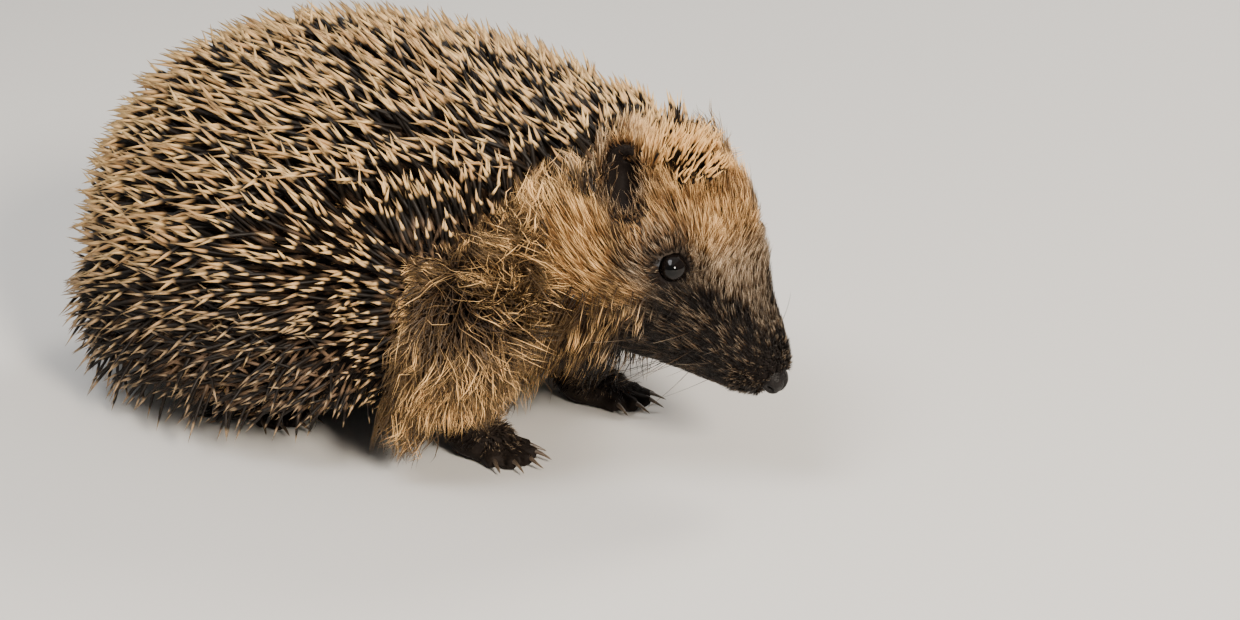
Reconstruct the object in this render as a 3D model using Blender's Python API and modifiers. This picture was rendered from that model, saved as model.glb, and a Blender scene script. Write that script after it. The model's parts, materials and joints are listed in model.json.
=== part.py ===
"""Life-size European hedgehog standing on all fours with its snout lowered to sniff the ground.

Metres, +Z up, +X towards the head, +Y to the animal's left. The origin is the middle of the
bounding box's base. Every solid reaches to the tips of its coat, and neighbours meet with a
thin gap.
"""
import math
from typing import NamedTuple

import bmesh
import bpy
from mathutils import Matrix, Vector

GAP = 0.0003  # parting gap between neighbouring solids

# Head: pitched down and turned to the animal's right, measured from the tip of the nose
NOSE_TIP = Vector((0.0905, 0.0, 0.0225))
HEAD_PITCH = math.radians(47)
HEAD_TURN = math.radians(6)
TURN_PIVOT = Vector((0.018, 0.0, 0.0))
TURN_LENGTH = 0.035  # stretch of neck over which the turn builds up

RING_POINTS = 28
SMOOTH_ANGLE = math.radians(32)


class Section(NamedTuple):
    """One cross-section of the body: the place of its centre, its lean and its reach."""

    x: float
    z: float
    lean: float  # degrees that the section's forward direction points down
    width: float  # half width
    above: float
    below: float
    belly: float  # 2 is an ellipse, more is squarer below


BODY = [
    Section(-0.0915, 0.0290, 0, 0.0000, 0.0000, 0.0000, 2.0),  # rump
    Section(-0.0890, 0.0290, 0, 0.0185, 0.0200, 0.0120, 2.4),
    Section(-0.0825, 0.0275, 0, 0.0335, 0.0375, 0.0180, 3.2),
    Section(-0.0700, 0.0255, 0, 0.0455, 0.0515, 0.0185, 4.4),
    Section(-0.0520, 0.0240, 0, 0.0540, 0.0605, 0.0180, 5.4),
    Section(-0.0280, 0.0235, 0, 0.0580, 0.0650, 0.0180, 5.8),  # widest and highest
    Section(-0.0040, 0.0265, 0, 0.0565, 0.0615, 0.0205, 5.0),
    Section(0.0150, 0.0345, 5, 0.0510, 0.0500, 0.0260, 3.6),
    Section(0.0290, 0.0440, 12, 0.0440, 0.0370, 0.0335, 2.9),  # base of the neck
    Section(0.0400, 0.0515, 22, 0.0375, 0.0278, 0.0420, 2.7),
    Section(0.0490, 0.0565, 32, 0.0325, 0.0230, 0.0475, 2.5),  # nape
    Section(0.0565, 0.0560, 40, 0.0285, 0.0203, 0.0455, 2.4),  # crown, between the ears
    Section(0.0655, 0.0492, 47, 0.0235, 0.0183, 0.0365, 2.2),  # brow and cheeks
    Section(0.0725, 0.0417, 47, 0.0170, 0.0145, 0.0258, 2.1),
    Section(0.0792, 0.0344, 47, 0.0110, 0.0102, 0.0172, 2.1),  # snout
    Section(0.0848, 0.0285, 47, 0.0070, 0.0068, 0.0106, 2.1),
    Section(0.0880, 0.0251, 47, 0.0046, 0.0042, 0.0062, 2.0),
    Section(0.0889, 0.0242, 47, 0.0000, 0.0000, 0.0000, 2.0),
]
NECK_BASE, NAPE = 8, 10  # rows of BODY where the trunk and the head are parted from the neck
TRUNK_STEPS, NECK_STEPS, HEAD_STEPS = 2, 2, 2  # rings between two rows

# Places on the head, in its own frame: x forward from the tip of the nose, y left, z up
EYE = Vector((-0.0328, 0.0156, 0.0068))
EYE_RADIUS = 0.0030
NOSE = Vector((-0.0040, 0.0, 0.0001))
NOSE_RADII = (0.0040, 0.0041, 0.0036)
NOSTRIL = Vector((-0.0008, 0.0027, 0.0000))
NOSTRIL_RADIUS = 0.0010
MOUTH_BACK, MOUTH_HEIGHT, JAW_DEPTH = -0.0245, -0.0046, 0.0300
EAR = Vector((-0.0552, 0.0168, 0.0108))
EAR_HALF_HEIGHT, EAR_HALF_WIDTH, EAR_HOLLOW, EAR_THICK = 0.0088, 0.0055, 0.0040, 0.0012
EAR_POCKET = 0.016  # how far the hollow in the coat opens in front of the ear
EAR_UP = Vector((-0.78, 0.08, 0.72))
EAR_OPENS = Vector((0.55, 0.80, 0.25))
# Swellings (+) and hollows (-) of the face: place, radius and height
FACE_FORMS = [
    (Vector((-0.0320, 0.0175, 0.0095)), 0.0062, -0.0014),  # hollow round the eye
    (Vector((-0.0350, 0.0110, 0.0180)), 0.0075, 0.0011),  # brow over the eye
    (Vector((-0.0385, 0.0220, -0.0080)), 0.0110, 0.0020),  # cheek
    (Vector((-0.0200, 0.0110, 0.0020)), 0.0060, -0.0007),  # in front of the eye
    (Vector((-0.0110, 0.0070, -0.0030)), 0.0050, 0.0007),  # whisker pad
]

# Feet: the middle of the sole and the way it points; right feet have a negative y
FORE_FOOT_RIGHT = Vector((0.0245, -0.0245, 0.0))
FORE_FOOT_LEFT = Vector((0.0295, 0.0155, 0.0))
HIND_FOOT_RIGHT = Vector((-0.0360, -0.0310, 0.0))
HIND_FOOT_LEFT = Vector((-0.0470, 0.0310, 0.0))
TOE_OUT = {"fore": math.radians(7), "hind": math.radians(14)}
# Soft forms of a paw round its middle: place and radii
PAW_FORMS = {
    "fore": [
        ((-0.0005, 0, 0.0036), (0.0085, 0.0072, 0.0050)),  # palm
        ((-0.0060, 0, 0.0075), (0.0058, 0.0056, 0.0062)),  # wrist
    ],
    "hind": [
        ((0.0020, 0, 0.0034), (0.0105, 0.0070, 0.0048)),  # ball of the foot
        ((-0.0090, 0, 0.0036), (0.0100, 0.0055, 0.0050)),  # sole
        ((-0.0110, 0, 0.0085), (0.0068, 0.0058, 0.0068)),  # heel
    ],
}
TOES = 5
TOE_FAN = math.radians(15)
TOE_RADII = (0.0044, 0.0021, 0.0024)
TOE_ROOT = {"fore": -0.0020, "hind": 0.0015}
TOE_REACH, TOE_SHORTER = 0.0117, 0.0009  # the middle toe, and how much less the next ones reach
TOE_HEIGHT = 0.0022
SOLE_CUT = 0.0006  # how much of the soft underside is flattened
SLAB = 0.08
CLAW_BASE, CLAW_TIP = 0.00085, 0.00018
CLAW_ROOT = 0.0026  # how far along the toe a claw starts
CLAW_LENGTH = {"fore": 0.0052, "hind": 0.0062}
CLAW_HEIGHT, CLAW_ARCH, CLAW_DROP = 0.0014, 0.0010, 0.0009
CLAW_POINTS = 5

# Limbs as soft forms: (voxel size, smoothing rounds, triangles)
LEG_BLEND, PAW_BLEND = (0.0014, 14, 230), (0.0006, 4, 280)
SHOULDER = ((0.0190, 0.0340, 0.0370), (0.0215, 0.0170, 0.0265))
ELBOW = (Vector((0.0160, 0.0300, 0.0220)), (0.0140, 0.0115, 0.0130))
FOREARM_RADII = (0.0092, 0.0080, 0.0084)
WRIST_BACK, WRIST_HEIGHT, WRIST_RADII = 0.0055, 0.0105, (0.0062, 0.0058, 0.0060)
THIGH = ((-0.0440, 0.0330, 0.0230), (0.0210, 0.0135, 0.0140))
SHANK = ((-0.0400, 0.0330, 0.0150), (0.0150, 0.0100, 0.0080))
HEEL_BACK, HEEL_HEIGHT, HEEL_RADII = 0.0110, 0.0110, (0.0072, 0.0066, 0.0066)

# The belly hangs in the hollow under the coat's lower rim
BELLY, BELLY_RADII = Vector((-0.0310, 0.0, 0.0270)), (0.0450, 0.0390, 0.0155)
UNDERSIDE, UNDERSIDE_RADII = Vector((-0.0310, 0.0, 0.0020)), (0.0510, 0.0450, 0.0210)

TAIL_ROOT = Vector((-0.0740, 0.0, 0.0200))
TAIL_TIP = Vector((-0.0910, 0.0, 0.0110))
TAIL_RADII = (0.0042, 0.0014)
TAIL_POINTS = 6


def clear_scene():
    for obj in list(bpy.data.objects):
        bpy.data.objects.remove(obj)


def make_material(name, colour, roughness):
    material = bpy.data.materials.new(name)
    material.use_nodes = True
    shader = material.node_tree.nodes["Principled BSDF"]
    shader.inputs["Base Color"].default_value = (*colour, 1)
    shader.inputs["Roughness"].default_value = roughness
    shader.inputs["Metallic"].default_value = 0
    return material


clear_scene()
hedgehog = bpy.data.collections.new("hedgehog")
cutters = bpy.data.collections.new("cutters")
for collection in (hedgehog, cutters):
    bpy.context.scene.collection.children.link(collection)

MATERIALS = {
    "spines": make_material("spines", (0.17, 0.12, 0.07), 0.55),
    "fur": make_material("fur", (0.30, 0.19, 0.10), 0.85),
    "face": make_material("face", (0.20, 0.13, 0.08), 0.85),
    "skin": make_material("skin", (0.05, 0.035, 0.03), 0.60),
    "nose": make_material("nose", (0.012, 0.010, 0.010), 0.30),
    "eye": make_material("eye", (0.006, 0.005, 0.005), 0.06),
    "claw": make_material("claw", (0.16, 0.12, 0.085), 0.40),
}


def place(name, mesh, finish):
    """A finished piece in the hedgehog's collection."""
    obj = bpy.data.objects.new(name, mesh)
    obj.data.materials.clear()
    obj.data.materials.append(MATERIALS[finish])
    obj.data.shade_smooth()
    hedgehog.objects.link(obj)
    return obj


def helper(name, mesh):
    """A shape that only cuts others."""
    obj = bpy.data.objects.new(name, mesh)
    obj.hide_render = True
    obj.display_type = "WIRE"
    cutters.objects.link(obj)
    return obj


def evaluated_mesh(obj):
    """The object's mesh with its modifiers applied and its place kept in the vertices."""
    graph = bpy.context.evaluated_depsgraph_get()
    mesh = bpy.data.meshes.new_from_object(obj.evaluated_get(graph), depsgraph=graph)
    mesh.transform(obj.matrix_world)
    return mesh


def swollen(obj, amount=GAP):
    """A helper in the shape of a piece, grown by the parting gap."""
    cutter = helper(obj.name + "_swollen", evaluated_mesh(obj))
    grow = cutter.modifiers.new("grow", "DISPLACE")
    grow.strength = amount
    grow.mid_level = 0
    return cutter


def cut(obj, cutter, operation="DIFFERENCE"):
    """Applies one Boolean to the piece, so that later cuts start from plain meshes."""
    boolean = obj.modifiers.new("cut", "BOOLEAN")
    boolean.object = cutter
    boolean.operation = operation
    boolean.solver = "EXACT"
    bpy.context.view_layer.update()
    mesh = evaluated_mesh(obj)
    obj.modifiers.clear()
    obj.matrix_world = Matrix.Identity(4)
    obj.data = mesh


def mesh_of(shape, name="shape"):
    mesh = bpy.data.meshes.new(name)
    shape.to_mesh(mesh)
    shape.free()
    return mesh


def ball(shape, centre, radii, turn=0.0, segments=16, rings=10):
    """Adds an ellipsoid to a bmesh, turned about the upright axis."""
    frame = Matrix.Translation(centre) @ Matrix.Rotation(turn, 4, "Z") @ Matrix.Diagonal((*radii, 1))
    bmesh.ops.create_uvsphere(
        shape, u_segments=segments, v_segments=rings, radius=1, matrix=frame
    )


def tapered_tube(name, points, radii, resolution=2):
    """The mesh of a round limb, claw or tail that narrows along its points."""
    curve = bpy.data.curves.new(name, "CURVE")
    curve.dimensions = "3D"
    curve.bevel_depth = 1
    curve.bevel_resolution = resolution
    curve.use_fill_caps = True
    spline = curve.splines.new("POLY")
    spline.points.add(len(points) - 1)
    for row, point, radius in zip(spline.points, points, radii):
        row.co = (*point, 1)
        row.radius = radius
    obj = bpy.data.objects.new(name, curve)
    cutters.objects.link(obj)
    bpy.context.view_layer.update()
    mesh = evaluated_mesh(obj)
    bpy.data.objects.remove(obj)
    shape = bmesh.new()
    shape.from_mesh(mesh)
    bmesh.ops.remove_doubles(shape, verts=shape.verts, dist=1e-6)
    shape.to_mesh(mesh)
    shape.free()
    return mesh


def grown_together(name, shape, blend_settings):
    """Overlapping shapes of a bmesh made one soft form of about so many triangles."""
    voxel, smoothing, triangles = blend_settings
    blend = bpy.data.objects.new(name, mesh_of(shape))
    cutters.objects.link(blend)
    remesh = blend.modifiers.new("join", "REMESH")
    remesh.mode = "VOXEL"
    remesh.voxel_size = voxel
    soften = blend.modifiers.new("soften", "SMOOTH")
    soften.factor = 0.5
    soften.iterations = smoothing
    bpy.context.view_layer.update()
    mesh = evaluated_mesh(blend)
    blend.modifiers.clear()
    blend.data = mesh
    thin = blend.modifiers.new("thin", "DECIMATE")
    thin.ratio = triangles / (2 * len(mesh.polygons))
    bpy.context.view_layer.update()
    mesh = evaluated_mesh(blend)
    bpy.data.objects.remove(blend)
    return mesh


def smooth_rows(rows, steps):
    """Catmull-Rom rows through the given ones, with so many steps from each to the next."""
    found = []
    for i in range(len(rows) - 1):
        before, start = rows[max(i - 1, 0)], rows[i]
        end, after = rows[i + 1], rows[min(i + 2, len(rows) - 1)]
        for step in range(steps[i]):
            t = step / steps[i]
            values = [
                0.5 * (2 * b + (c - a) * t + (2 * a - 5 * b + 4 * c - d) * t**2
                       + (3 * b - a - 3 * c + d) * t**3)
                for a, b, c, d in zip(before, start, end, after)
            ]
            found.append(Section(*values))
    return [*found, rows[-1]]


def head_turn_at(x):
    """How far the neck has turned at this distance forward."""
    t = min(max((x - TURN_PIVOT.x) / TURN_LENGTH, 0), 1)
    return -HEAD_TURN * t * t * (3 - 2 * t)


def turned(angle):
    return (Matrix.Translation(TURN_PIVOT) @ Matrix.Rotation(angle, 4, "Z")
            @ Matrix.Translation(-TURN_PIVOT))


HEAD_FRAME = turned(-HEAD_TURN) @ Matrix.Translation(NOSE_TIP) @ Matrix.Rotation(HEAD_PITCH, 4, "Y")


def section_frame(section, shift=0.0):
    """Where a section stands: its x axis runs forward through it."""
    return (turned(head_turn_at(section.x))
            @ Matrix.Translation((section.x, 0, section.z))
            @ Matrix.Rotation(math.radians(section.lean), 4, "Y")
            @ Matrix.Translation((shift, 0, 0)))


def outline(section):
    """The points round a section, each half a superellipse."""
    points = []
    for k in range(RING_POINTS):
        angle = math.tau * k / RING_POINTS
        side, rise = math.cos(angle), math.sin(angle)
        power = 2 / (2.1 if rise >= 0 else section.belly)
        reach = section.above if rise >= 0 else section.below
        y = math.copysign(abs(side) ** power, side) * section.width
        z = math.copysign(abs(rise) ** power, rise) * reach
        points.append(Vector((0, y, z)))
    return points


def loft(sections, start_shift=0.0, end_shift=0.0):
    """A closed skin through the sections: rings joined by quads, ends as points or flat caps."""
    shape = bmesh.new()
    rings = []
    last = len(sections) - 1
    for i, section in enumerate(sections):
        frame = section_frame(section, {0: start_shift, last: end_shift}.get(i, 0.0))
        if section.width < 1e-6:
            rings.append([shape.verts.new(frame.translation)])
        else:
            rings.append([shape.verts.new(frame @ p) for p in outline(section)])
    for near, far in zip(rings, rings[1:]):
        for k in range(RING_POINTS):
            n = (k + 1) % RING_POINTS
            if len(near) == 1:
                shape.faces.new((near[0], far[n], far[k]))
            elif len(far) == 1:
                shape.faces.new((near[k], near[n], far[0]))
            else:
                shape.faces.new((near[k], near[n], far[n], far[k]))
    for ring in (rings[0], rings[-1]):
        if len(ring) > 1:
            shape.faces.new(ring)
    bmesh.ops.recalc_face_normals(shape, faces=shape.faces)
    return shape


def shape_face(shape):
    """Raises and sinks the head's surface round the places in FACE_FORMS, on both sides."""
    to_head = HEAD_FRAME.inverted()
    for vertex in shape.verts:
        local = to_head @ vertex.co
        outward = Vector((0, local.y, local.z))
        if outward.length < 1e-6:
            continue
        mirrored = Vector((local.x, abs(local.y), local.z))
        height = sum(
            rise * math.exp(-((mirrored - centre).length / radius) ** 2)
            for centre, radius, rise in FACE_FORMS
        )
        vertex.co = HEAD_FRAME @ (local + outward.normalized() * height)


def on_side(point, side):
    """A place given for the left side, on the left (1) or the right (-1)."""
    return Vector((point.x, point.y * side, point.z))


def make_body():
    """Trunk, neck and head: one soft form parted at the base of the neck and at the nape."""
    steps = [TRUNK_STEPS] * NECK_BASE + [NECK_STEPS] * (NAPE - NECK_BASE)
    steps += [HEAD_STEPS] * (len(BODY) - 1 - len(steps))
    rows = smooth_rows(BODY, steps)
    base, nape = sum(steps[:NECK_BASE]), sum(steps[:NAPE])
    trunk = place("trunk", mesh_of(loft(rows[: base + 1])), "spines")
    neck = place("neck", mesh_of(loft(rows[base : nape + 1], GAP, -GAP)), "fur")
    face = loft(rows[nape:])
    shape_face(face)
    head = place("head", mesh_of(face), "face")
    return trunk, neck, head


def make_belly(trunk):
    """The furred belly, set into the underside of the trunk."""
    form = bmesh.new()
    ball(form, BELLY, BELLY_RADII, segments=18, rings=8)
    belly = place("belly", mesh_of(form), "fur")
    hollow = bmesh.new()
    ball(hollow, UNDERSIDE, UNDERSIDE_RADII, segments=20, rings=8)
    cut(trunk, helper("underside", mesh_of(hollow)))
    cut(trunk, swollen(belly))
    return belly


def make_jaw(head):
    """The lower jaw, parted from the head along the mouth."""
    jaw = place("lower_jaw", head.data.copy(), "face")
    for piece, gap, operation in ((jaw, GAP, "INTERSECT"), (head, 0.0, "DIFFERENCE")):
        low = Vector((MOUTH_BACK + gap, -JAW_DEPTH, MOUTH_HEIGHT - JAW_DEPTH))
        high = Vector((JAW_DEPTH, JAW_DEPTH, MOUTH_HEIGHT - gap))
        block = bmesh.new()
        box = Matrix.Translation((low + high) / 2) @ Matrix.Diagonal((*(high - low), 1))
        bmesh.ops.create_cube(block, size=1, matrix=HEAD_FRAME @ box)
        cut(piece, helper("mouth_block", mesh_of(block)), operation)


def make_nose(head):
    pad = bmesh.new()
    ball(pad, NOSE, NOSE_RADII, segments=14, rings=8)
    bmesh.ops.transform(pad, matrix=HEAD_FRAME, verts=pad.verts)
    nose = place("nose", mesh_of(pad), "nose")
    cut(head, swollen(nose))
    jaw = bpy.data.objects["lower_jaw"]
    cut(jaw, swollen(nose))
    holes = bmesh.new()
    for side in (-1, 1):
        ball(holes, on_side(NOSTRIL, side), [NOSTRIL_RADIUS] * 3, segments=8, rings=5)
    bmesh.ops.transform(holes, matrix=HEAD_FRAME, verts=holes.verts)
    cut(nose, helper("nostrils", mesh_of(holes)))


def make_eye(side, suffix, head):
    globe = bmesh.new()
    ball(globe, on_side(EYE, side), [EYE_RADIUS] * 3, segments=14, rings=8)
    bmesh.ops.transform(globe, matrix=HEAD_FRAME, verts=globe.verts)
    eye = place("eye_" + suffix, mesh_of(globe), "eye")
    cut(head, swollen(eye))


def ear_frame(side):
    """Where an ear stands: its x axis leaves through the opening and z runs to the tip."""
    up = on_side(EAR_UP, side).normalized()
    opens = on_side(EAR_OPENS, side)
    opens = (opens - up * opens.dot(up)).normalized()
    frame = Matrix((opens, up.cross(opens), up)).transposed().to_4x4()
    frame.translation = on_side(EAR, side)
    return HEAD_FRAME @ frame


def make_ear(side, suffix, head, neck):
    """A cupped shell at the back of its own hollow in the coat."""
    frame = ear_frame(side)
    bowl = bmesh.new()
    bmesh.ops.create_uvsphere(bowl, u_segments=16, v_segments=8, radius=1)
    front = [v for v in bowl.verts if v.co.x > 1e-6]
    bmesh.ops.delete(bowl, geom=front, context="VERTS")
    reach = Matrix.Diagonal((EAR_HOLLOW, EAR_HALF_WIDTH, EAR_HALF_HEIGHT, 1))
    bmesh.ops.transform(bowl, matrix=frame @ reach, verts=bowl.verts)
    ear = place("ear_" + suffix, mesh_of(bowl), "skin")
    thicken = ear.modifiers.new("thicken", "SOLIDIFY")
    thicken.thickness = EAR_THICK
    thicken.offset = 0
    pocket = bmesh.new()
    bmesh.ops.create_uvsphere(pocket, u_segments=16, v_segments=8, radius=1)
    room = EAR_THICK / 2 + GAP
    for vertex in pocket.verts:
        vertex.co.x *= EAR_POCKET if vertex.co.x > 0 else EAR_HOLLOW + room
        vertex.co.y *= EAR_HALF_WIDTH + room
        vertex.co.z *= EAR_HALF_HEIGHT + room
    bmesh.ops.transform(pocket, matrix=frame, verts=pocket.verts)
    hollow = helper("ear_pocket", mesh_of(pocket))
    cut(head, hollow)
    cut(neck, hollow)


def foot_frame(foot, centre, side):
    """Where a foot stands; toes point forward and a little outward."""
    return Matrix.Translation(centre) @ Matrix.Rotation(side * TOE_OUT[foot], 4, "Z")


def make_paw(foot, centre, side, suffix):
    """A broad sole with five toes, cut flat where it stands."""
    shape = bmesh.new()
    for place_of, radii in PAW_FORMS[foot]:
        ball(shape, place_of, radii)
    toes = []
    for i in range(TOES):
        from_middle = i - (TOES - 1) / 2
        spread = from_middle * TOE_FAN
        along = Vector((math.cos(spread), math.sin(spread), 0))
        root = Vector((TOE_ROOT[foot], 0, TOE_HEIGHT))
        toe = root + along * (TOE_REACH - TOE_SHORTER * from_middle**2)
        toes.append((toe, spread))
        ball(shape, toe, TOE_RADII, turn=spread, segments=12, rings=8)
    name = f"{foot}_paw_{suffix}"
    mesh = grown_together(name, shape, PAW_BLEND)
    frame = foot_frame(foot, centre, side)
    mesh.transform(frame @ Matrix.Translation((0, 0, -SOLE_CUT)))
    paw = place(name, mesh, "skin")
    ground = bmesh.new()
    slab = Matrix.Translation((centre.x, centre.y, -SLAB / 2)) @ Matrix.Diagonal((SLAB, SLAB, SLAB, 1))
    bmesh.ops.create_cube(ground, size=1, matrix=slab)
    cut(paw, helper("ground", mesh_of(ground)))
    for i, (toe, spread) in enumerate(toes):
        make_claw(f"claw_{foot}_{suffix}_{i + 1}", CLAW_LENGTH[foot], paw, frame, toe, spread)
    return paw


def make_claw(name, length, paw, frame, toe, spread):
    """A curved claw that leaves the end of its toe and stops just clear of the ground."""
    along = Vector((math.cos(spread), math.sin(spread), 0))
    points, radii = [], []
    for k in range(CLAW_POINTS):
        t = k / (CLAW_POINTS - 1)
        height = CLAW_HEIGHT + CLAW_ARCH * math.sin(math.pi * (0.25 + 0.75 * t)) - CLAW_DROP * t
        reach = toe + along * (CLAW_ROOT + length * t)
        points.append(frame @ Vector((reach.x, reach.y, height)))
        radii.append(CLAW_BASE + (CLAW_TIP - CLAW_BASE) * t**1.3)
    claw = place(name, tapered_tube("claw", points, radii, 0), "claw")
    cut(claw, swollen(paw))


def make_leg(foot, paw, side, suffix, forms, bearers):
    """The upper limb, set into the body round it and ending at the paw."""
    shape = bmesh.new()
    for centre, radii in forms:
        ball(shape, on_side(Vector(centre), side), radii, segments=20, rings=12)
    leg = place(f"{foot}_leg_{suffix}", grown_together(foot, shape, LEG_BLEND), "fur")
    for bearer in bearers:
        cut(bearer, swollen(leg))
        cut(bearer, swollen(paw))
    cut(leg, swollen(paw))
    return leg


def make_tail(trunk):
    points, radii = [], []
    for k in range(TAIL_POINTS):
        t = k / (TAIL_POINTS - 1)
        points.append(TAIL_ROOT.lerp(TAIL_TIP, t))
        radii.append(TAIL_RADII[0] + (TAIL_RADII[1] - TAIL_RADII[0]) * t)
    tail = place("tail", tapered_tube("tail", points, radii, 3), "skin")
    cut(tail, swollen(trunk))


def fore_forms(foot):
    """Shoulder, elbow, forearm and wrist of a left foreleg, as ellipsoids down to the foot."""
    wrist = Vector((foot.x - WRIST_BACK, abs(foot.y), WRIST_HEIGHT))
    forearm = wrist.lerp(ELBOW[0], 0.45)
    return [SHOULDER, ELBOW, (forearm, FOREARM_RADII), (wrist, WRIST_RADII)]


def hind_forms(foot):
    """Thigh, shank and heel of a left hind leg, as ellipsoids down to the foot."""
    heel = Vector((foot.x - HEEL_BACK, abs(foot.y), HEEL_HEIGHT))
    return [THIGH, SHANK, (heel, HEEL_RADII)]


def stand_on_origin():
    """Parents every piece to one empty, moved so that the origin is under the middle."""
    bpy.context.view_layer.update()
    corners = [v.co for obj in hedgehog.objects for v in obj.data.vertices]
    low = Vector([min(c[i] for c in corners) for i in range(3)])
    high = Vector([max(c[i] for c in corners) for i in range(3)])
    frame = bpy.data.objects.new("hedgehog_frame", None)
    frame.location = (-(low.x + high.x) / 2, -(low.y + high.y) / 2, -low.z)
    hedgehog.objects.link(frame)
    for obj in list(hedgehog.objects):
        if obj is not frame:
            obj.data.set_sharp_from_angle(angle=SMOOTH_ANGLE)
            obj.parent = frame


trunk, neck, head = make_body()
belly = make_belly(trunk)
make_jaw(head)
make_nose(head)
for side, suffix in ((-1, "right"), (1, "left")):
    make_eye(side, suffix, head)
    make_ear(side, suffix, head, neck)
    fore_foot = FORE_FOOT_RIGHT if side < 0 else FORE_FOOT_LEFT
    hind_foot = HIND_FOOT_RIGHT if side < 0 else HIND_FOOT_LEFT
    fore_paw = make_paw("fore", fore_foot, side, suffix)
    hind_paw = make_paw("hind", hind_foot, side, suffix)
    fore_leg = make_leg("fore", fore_paw, side, suffix, fore_forms(fore_foot), (trunk, belly, neck))
    cut(fore_leg, swollen(head))
    make_leg("hind", hind_paw, side, suffix, hind_forms(hind_foot), (trunk, belly))
make_tail(trunk)
stand_on_origin()
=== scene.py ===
# Hedgehog: skin, spines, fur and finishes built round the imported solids. Metres, +Z up, +X forward.
import json
import math

import bmesh
import bpy
import numpy as np
from mathutils import Matrix, Vector
from mathutils.bvhtree import BVHTree
from mathutils.kdtree import KDTree

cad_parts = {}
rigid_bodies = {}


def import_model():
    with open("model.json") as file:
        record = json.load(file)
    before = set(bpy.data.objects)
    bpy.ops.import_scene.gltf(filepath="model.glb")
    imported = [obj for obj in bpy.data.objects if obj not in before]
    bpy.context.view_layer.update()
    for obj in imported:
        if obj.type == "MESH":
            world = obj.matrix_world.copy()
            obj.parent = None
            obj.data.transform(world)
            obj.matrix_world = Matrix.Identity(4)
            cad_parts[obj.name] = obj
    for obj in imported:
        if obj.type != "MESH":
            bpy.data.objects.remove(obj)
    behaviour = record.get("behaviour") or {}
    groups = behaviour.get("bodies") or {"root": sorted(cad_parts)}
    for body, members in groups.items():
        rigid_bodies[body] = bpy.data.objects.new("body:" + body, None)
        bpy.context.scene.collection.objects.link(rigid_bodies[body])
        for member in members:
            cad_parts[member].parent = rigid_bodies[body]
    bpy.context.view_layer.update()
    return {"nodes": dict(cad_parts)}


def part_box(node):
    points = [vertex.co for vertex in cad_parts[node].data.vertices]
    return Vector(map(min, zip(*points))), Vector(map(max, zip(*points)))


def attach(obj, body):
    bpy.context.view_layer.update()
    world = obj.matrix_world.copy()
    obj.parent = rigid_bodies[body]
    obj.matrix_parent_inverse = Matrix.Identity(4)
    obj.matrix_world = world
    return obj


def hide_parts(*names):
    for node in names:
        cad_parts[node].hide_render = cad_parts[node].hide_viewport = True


for thing in list(bpy.data.objects):
    bpy.data.objects.remove(thing)
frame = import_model()
nodes = frame["nodes"]
chance = np.random.default_rng(2209)  # one seed for every random draw
print("frame loaded:", len(nodes), "nodes")

sides = {"left": 1.0, "right": -1.0}
pairedParts = ("ear_", "fore_leg_", "fore_paw_", "hind_leg_", "hind_paw_")
fleshNodes = ["trunk", "neck", "head", "lower_jaw", "belly", "tail"]
fleshNodes += [part + side for part in pairedParts for side in sides]
earNodes = [name for name in fleshNodes if "ear" in name]
legNodes = [name for name in fleshNodes if "leg" in name]
pawNodes = [name for name in fleshNodes if "paw" in name]
clawsOf = {paw: [name for name in nodes if name.startswith("claw_" + paw.replace("_paw", "") + "_")]
           for paw in pawNodes}


def unit(rows):
    return rows / np.maximum(np.linalg.norm(rows, axis=-1, keepdims=True), 1e-12)


def unitOf(way):
    return unit(way[None])[0]


def ramp(value, start, end):  # 0 at start, 1 at end, smooth between; start may be the higher
    share = np.clip((value - start) / (end - start), 0.0, 1.0)
    return share * share * (3 - 2 * share)


def bell(away, width):
    return np.exp(-((away / width) ** 2))


def blend(first, second, share):
    return first * (1 - share) + second * share


def distance(places, spot):
    return np.linalg.norm(places - spot, axis=1)


def nearest(places, spots):  # distance to the nearest of the spots
    return np.min([distance(places, spot) for spot in spots], 0)


def boxCentre(node):
    low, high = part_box(node)
    return np.array((low + high) / 2)


def meshArrays(mesh):
    places = np.empty(len(mesh.vertices) * 3)
    mesh.vertices.foreach_get("co", places)
    normals = np.empty(len(mesh.vertices) * 3)
    mesh.vertices.foreach_get("normal", normals)
    return places.reshape(-1, 3), normals.reshape(-1, 3)


def meshTriangles(mesh):
    mesh.calc_loop_triangles()
    corners = np.empty(len(mesh.loop_triangles) * 3, np.int32)
    mesh.loop_triangles.foreach_get("vertices", corners)
    return corners.reshape(-1, 3)


def meshEdges(mesh):
    edges = np.empty(len(mesh.edges) * 2, np.int32)
    mesh.edges.foreach_get("vertices", edges)
    return edges.reshape(-1, 2)


def setPlaces(mesh, places):
    mesh.vertices.foreach_set("co", places.astype(np.float32).ravel())
    mesh.update()


def makeMesh(name, places, faces):  # faces is one array with rows of equal length
    mesh = bpy.data.meshes.new(name)
    count, size = faces.shape
    mesh.vertices.add(len(places))
    mesh.vertices.foreach_set("co", np.asarray(places, np.float32).ravel())
    mesh.loops.add(count * size)
    mesh.loops.foreach_set("vertex_index", faces.astype(np.int32).ravel())
    mesh.polygons.add(count)
    mesh.polygons.foreach_set("loop_start", np.arange(0, count * size, size, dtype=np.int32))
    mesh.polygons.foreach_set("use_smooth", np.ones(count, bool))
    mesh.update(calc_edges=True)
    return mesh


def makeObject(name, mesh):
    piece = bpy.data.objects.new(name, mesh)
    bpy.context.scene.collection.objects.link(piece)
    return piece


def addValue(mesh, name, values):  # one number for each vertex, for the materials
    mesh.attributes.new(name, "FLOAT", "POINT").data.foreach_set("value", values.astype(np.float32))


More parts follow.
